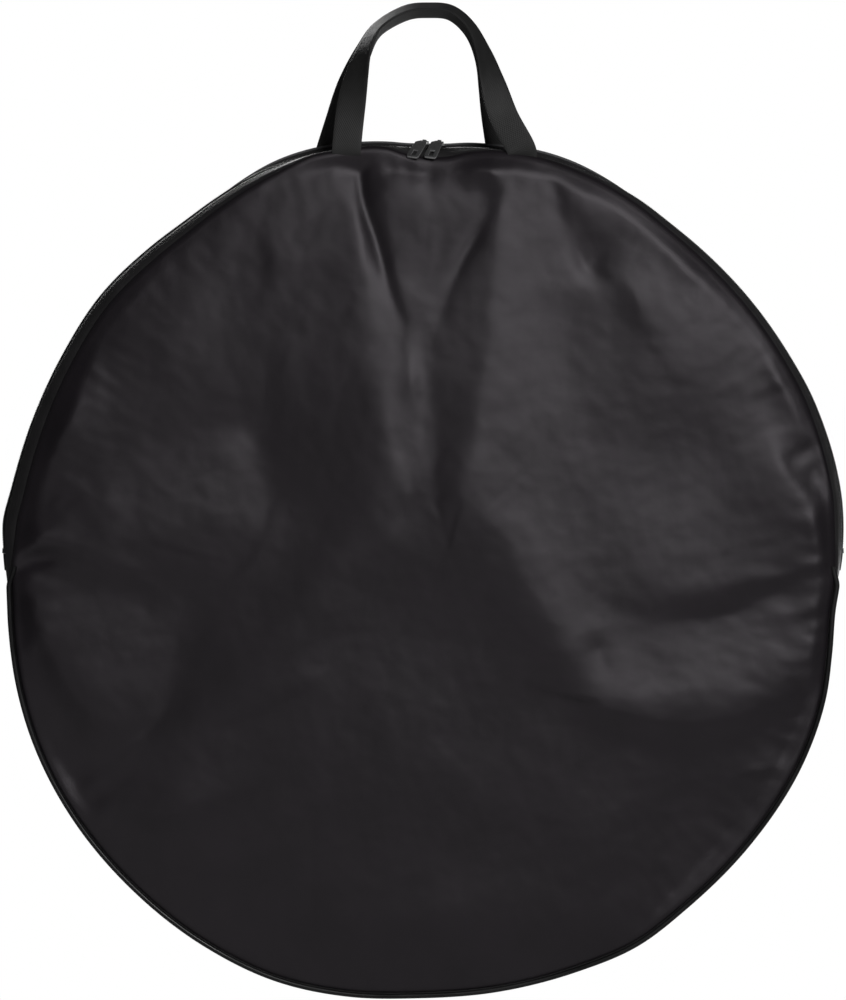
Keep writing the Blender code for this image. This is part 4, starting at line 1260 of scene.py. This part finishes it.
def make_finishes():
    groups = {"weave": woven_threads_group(), "tone": uneven_tone_group()}
    return {
        "cloth": cloth_finish(
            "black_polyester", groups, threads=2200, depth=0.00003, crease=0.00018,
            dark=(0.0042, 0.0035, 0.0043), light=(0.0075, 0.0061, 0.0076), patches=14,
            shine={"Roughness": 0.43, "Specular IOR Level": 0.253, "Specular Tint": (1.0, 0.94, 1.0, 1.0)},
        ),
        "lining": cloth_finish(
            "grey_lining", groups, threads=1800, depth=0.00003, crease=0.0002,
            dark=(0.045, 0.045, 0.047), light=(0.065, 0.065, 0.068), patches=20,
            shine={"Roughness": 0.75, "Specular IOR Level": 0.3},
        ),
        "band": cloth_finish(
            "black_band_cloth", groups, threads=1600, depth=0.00005, crease=0.0002,
            dark=(0.0086, 0.0082, 0.0086), light=(0.0153, 0.0146, 0.0153), patches=40,
            shine={"Roughness": 0.5, "Specular IOR Level": 0.226},
        ),
        "thread": cloth_finish(
            "black_sewing_thread", groups, threads=4000, depth=0.00003, crease=0.0,
            dark=(0.0053, 0.0053, 0.0053), light=(0.0093, 0.0093, 0.0093), patches=200,
            shine={"Roughness": 0.5, "Specular IOR Level": 0.21},
        ),
        "zip_tape": cloth_finish(
            "black_zip_tape", groups, threads=1300, depth=0.00008, crease=0.0001,
            dark=(0.004, 0.004, 0.004), light=(0.0067, 0.0067, 0.0067), patches=90,
            shine={"Roughness": 0.75, "Specular IOR Level": 0.146},
        ),
        "webbing": cloth_finish(
            "black_webbing", groups, threads=1000, depth=0.00008, crease=0.0001,
            dark=(0.0073, 0.0073, 0.0072), light=(0.0126, 0.0126, 0.0125), patches=60,
            shine={"Roughness": 0.6, "Specular IOR Level": 0.186},
        ),
        "guard_sheet": moulded_finish(
            "black_plastic_sheet", groups, dark=(0.016, 0.016, 0.016), light=(0.029, 0.029, 0.029),
            patches=30, grain=1500, grain_depth=0.00003,
            shine={"Roughness": 0.42, "Specular IOR Level": 0.4},
        ),
        "zip_chain": moulded_finish(
            "black_nylon_teeth", groups, dark=(0.0053, 0.0053, 0.0053), light=(0.012, 0.012, 0.012),
            patches=120, grain=2500, grain_depth=0.00002,
            shine={"Roughness": 0.38, "Specular IOR Level": 0.27},
        ),
        "piping": moulded_finish(
            "glossy_black_piping", groups, dark=(0.0027, 0.0027, 0.0028), light=(0.0053, 0.0053, 0.0055),
            patches=14, grain=400, grain_depth=0.00006,
            shine={"Specular IOR Level": 0.2}, gloss=(0.26, 0.62),
        ),
        "zip_metal": moulded_finish(
            "dark_zip_metal", groups, dark=(0.027, 0.027, 0.0275), light=(0.060, 0.060, 0.061),
            patches=900, grain=2200, grain_depth=0.00010,
            shine={"Metallic": 0.2, "Specular IOR Level": 0.29}, gloss=(0.5, 0.38),
        ),
        # Lighter metal for edges and a pull's sides: partly wear, partly painted highlight.
        "worn_and_highlit_zip_metal": moulded_finish(
            "worn_and_highlit_zip_metal", groups, dark=(0.10, 0.10, 0.101), light=(0.206, 0.206, 0.209),
            patches=700, grain=2200, grain_depth=0.00005,
            shine={"Metallic": 0.3, "Specular IOR Level": 0.29}, gloss=(0.45, 0.3),
        ),
        "floor": moulded_finish(
            "pale_floor", groups, dark=(0.78, 0.78, 0.78), light=(0.82, 0.82, 0.82),
            patches=1, grain=60, grain_depth=0.0001, shine={"Roughness": 0.8},
        ),
    }


# Studio


def add_camera():
    camera = new_object("camera", bpy.data.cameras.new("camera"))
    camera.data.sensor_width = SENSOR
    camera.data.lens = SENSOR * CAMERA_DISTANCE / VIEW_HEIGHT
    camera.data.clip_end = VIEW_DEPTH
    camera.location = centre + Vector((0, -CAMERA_DISTANCE, CAMERA_HEIGHT))
    camera.rotation_euler = (math.pi / 2, 0, 0)
    bpy.context.scene.camera = camera


def add_softbox(name, place, size, power):
    """A square soft lamp at a place given from the bag's centre, aimed at the bag."""
    data = bpy.data.lights.new(name, "AREA")
    data.shape = "SQUARE"
    data.size = size
    data.energy = power
    lamp = new_object(name, data)
    lamp.location = centre + Vector(place)
    lamp.rotation_euler = (-Vector(place)).to_track_quat("-Z", "Y").to_euler()


def add_world():
    """White for the camera, and soft grey light for the bag."""
    world = bpy.data.worlds.new("studio")
    bpy.context.scene.world = world
    world.use_nodes = True
    tree = world.node_tree
    tree.nodes.clear()
    rays = add_node(tree, "LightPath").outputs
    seen = math_node(tree, "MAXIMUM", rays["Is Camera Ray"], rays["Is Transmission Ray"])
    soft = add_node(tree, "Background", {"Color": ROOM_LIGHT}).outputs[0]
    white = add_node(tree, "Background", {"Color": WHITE}).outputs[0]
    mix = add_node(tree, "MixShader", {0: seen, 1: soft, 2: white})
    add_node(tree, "OutputWorld", {"Surface": mix.outputs[0]})


def brighten_for_camera(material):
    """Mixes white into what the camera sees of a surface, which keeps the bag's shadow on it."""
    tree = material.node_tree
    rays = add_node(tree, "LightPath").outputs
    share = math_node(tree, "MULTIPLY", rays["Is Camera Ray"], FLOOR_WHITE_SHARE)
    surface = tree.nodes["Principled BSDF"].outputs[0]
    white = add_node(tree, "Emission", {"Color": WHITE}).outputs[0]
    mix = add_node(tree, "MixShader", {0: share, 1: surface, 2: white})
    fill_sockets(tree, tree.nodes["Material Output"], {"Surface": mix.outputs[0]})


def add_floor(finish):
    brighten_for_camera(finish)
    bpy.ops.object.select_all(action="DESELECT")
    place = centre - Vector((0, 0, FLOOR_DROP))
    bpy.ops.mesh.primitive_plane_add(size=FLOOR_SIZE, location=place)
    floor = bpy.context.object
    floor.name = "studio_floor"
    floor.data.materials.append(finish)


def add_studio(floor_finish):
    bpy.context.scene.view_settings.view_transform = "Standard"
    add_camera()
    add_world()
    add_floor(floor_finish)
    for name, place, size, power in SOFTBOXES:
        add_softbox(name, place, size, power)


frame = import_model()
centre = Vector(next(j for j in frame["joints"] if j["name"] == "slider_left_run")["pos_m"])


def main():
    finishes = make_finishes()
    add_studio(finishes["floor"])
    cloth, lining = finishes["cloth"], finishes["lining"]
    front = make_panel("front_panel", FRONT, PANEL_CELLS, FRONT_FOLDS, FRONT_SWELLINGS, cloth, lining)
    bend_with_flap(front)
    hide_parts("flap_cloth", "flap_padding", "lower_front_cloth", "lower_front_padding")
    back = make_panel("back_panel", BACK, BACK_PANEL_CELLS, BACK_FOLDS, BACK_SWELLINGS, cloth, lining)
    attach(back, "shell")
    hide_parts("back_cloth", "back_padding")
    make_band_and_zip(finishes)
    make_handles(finishes)
    make_metal(finishes)
    make_guards(finishes)


main()
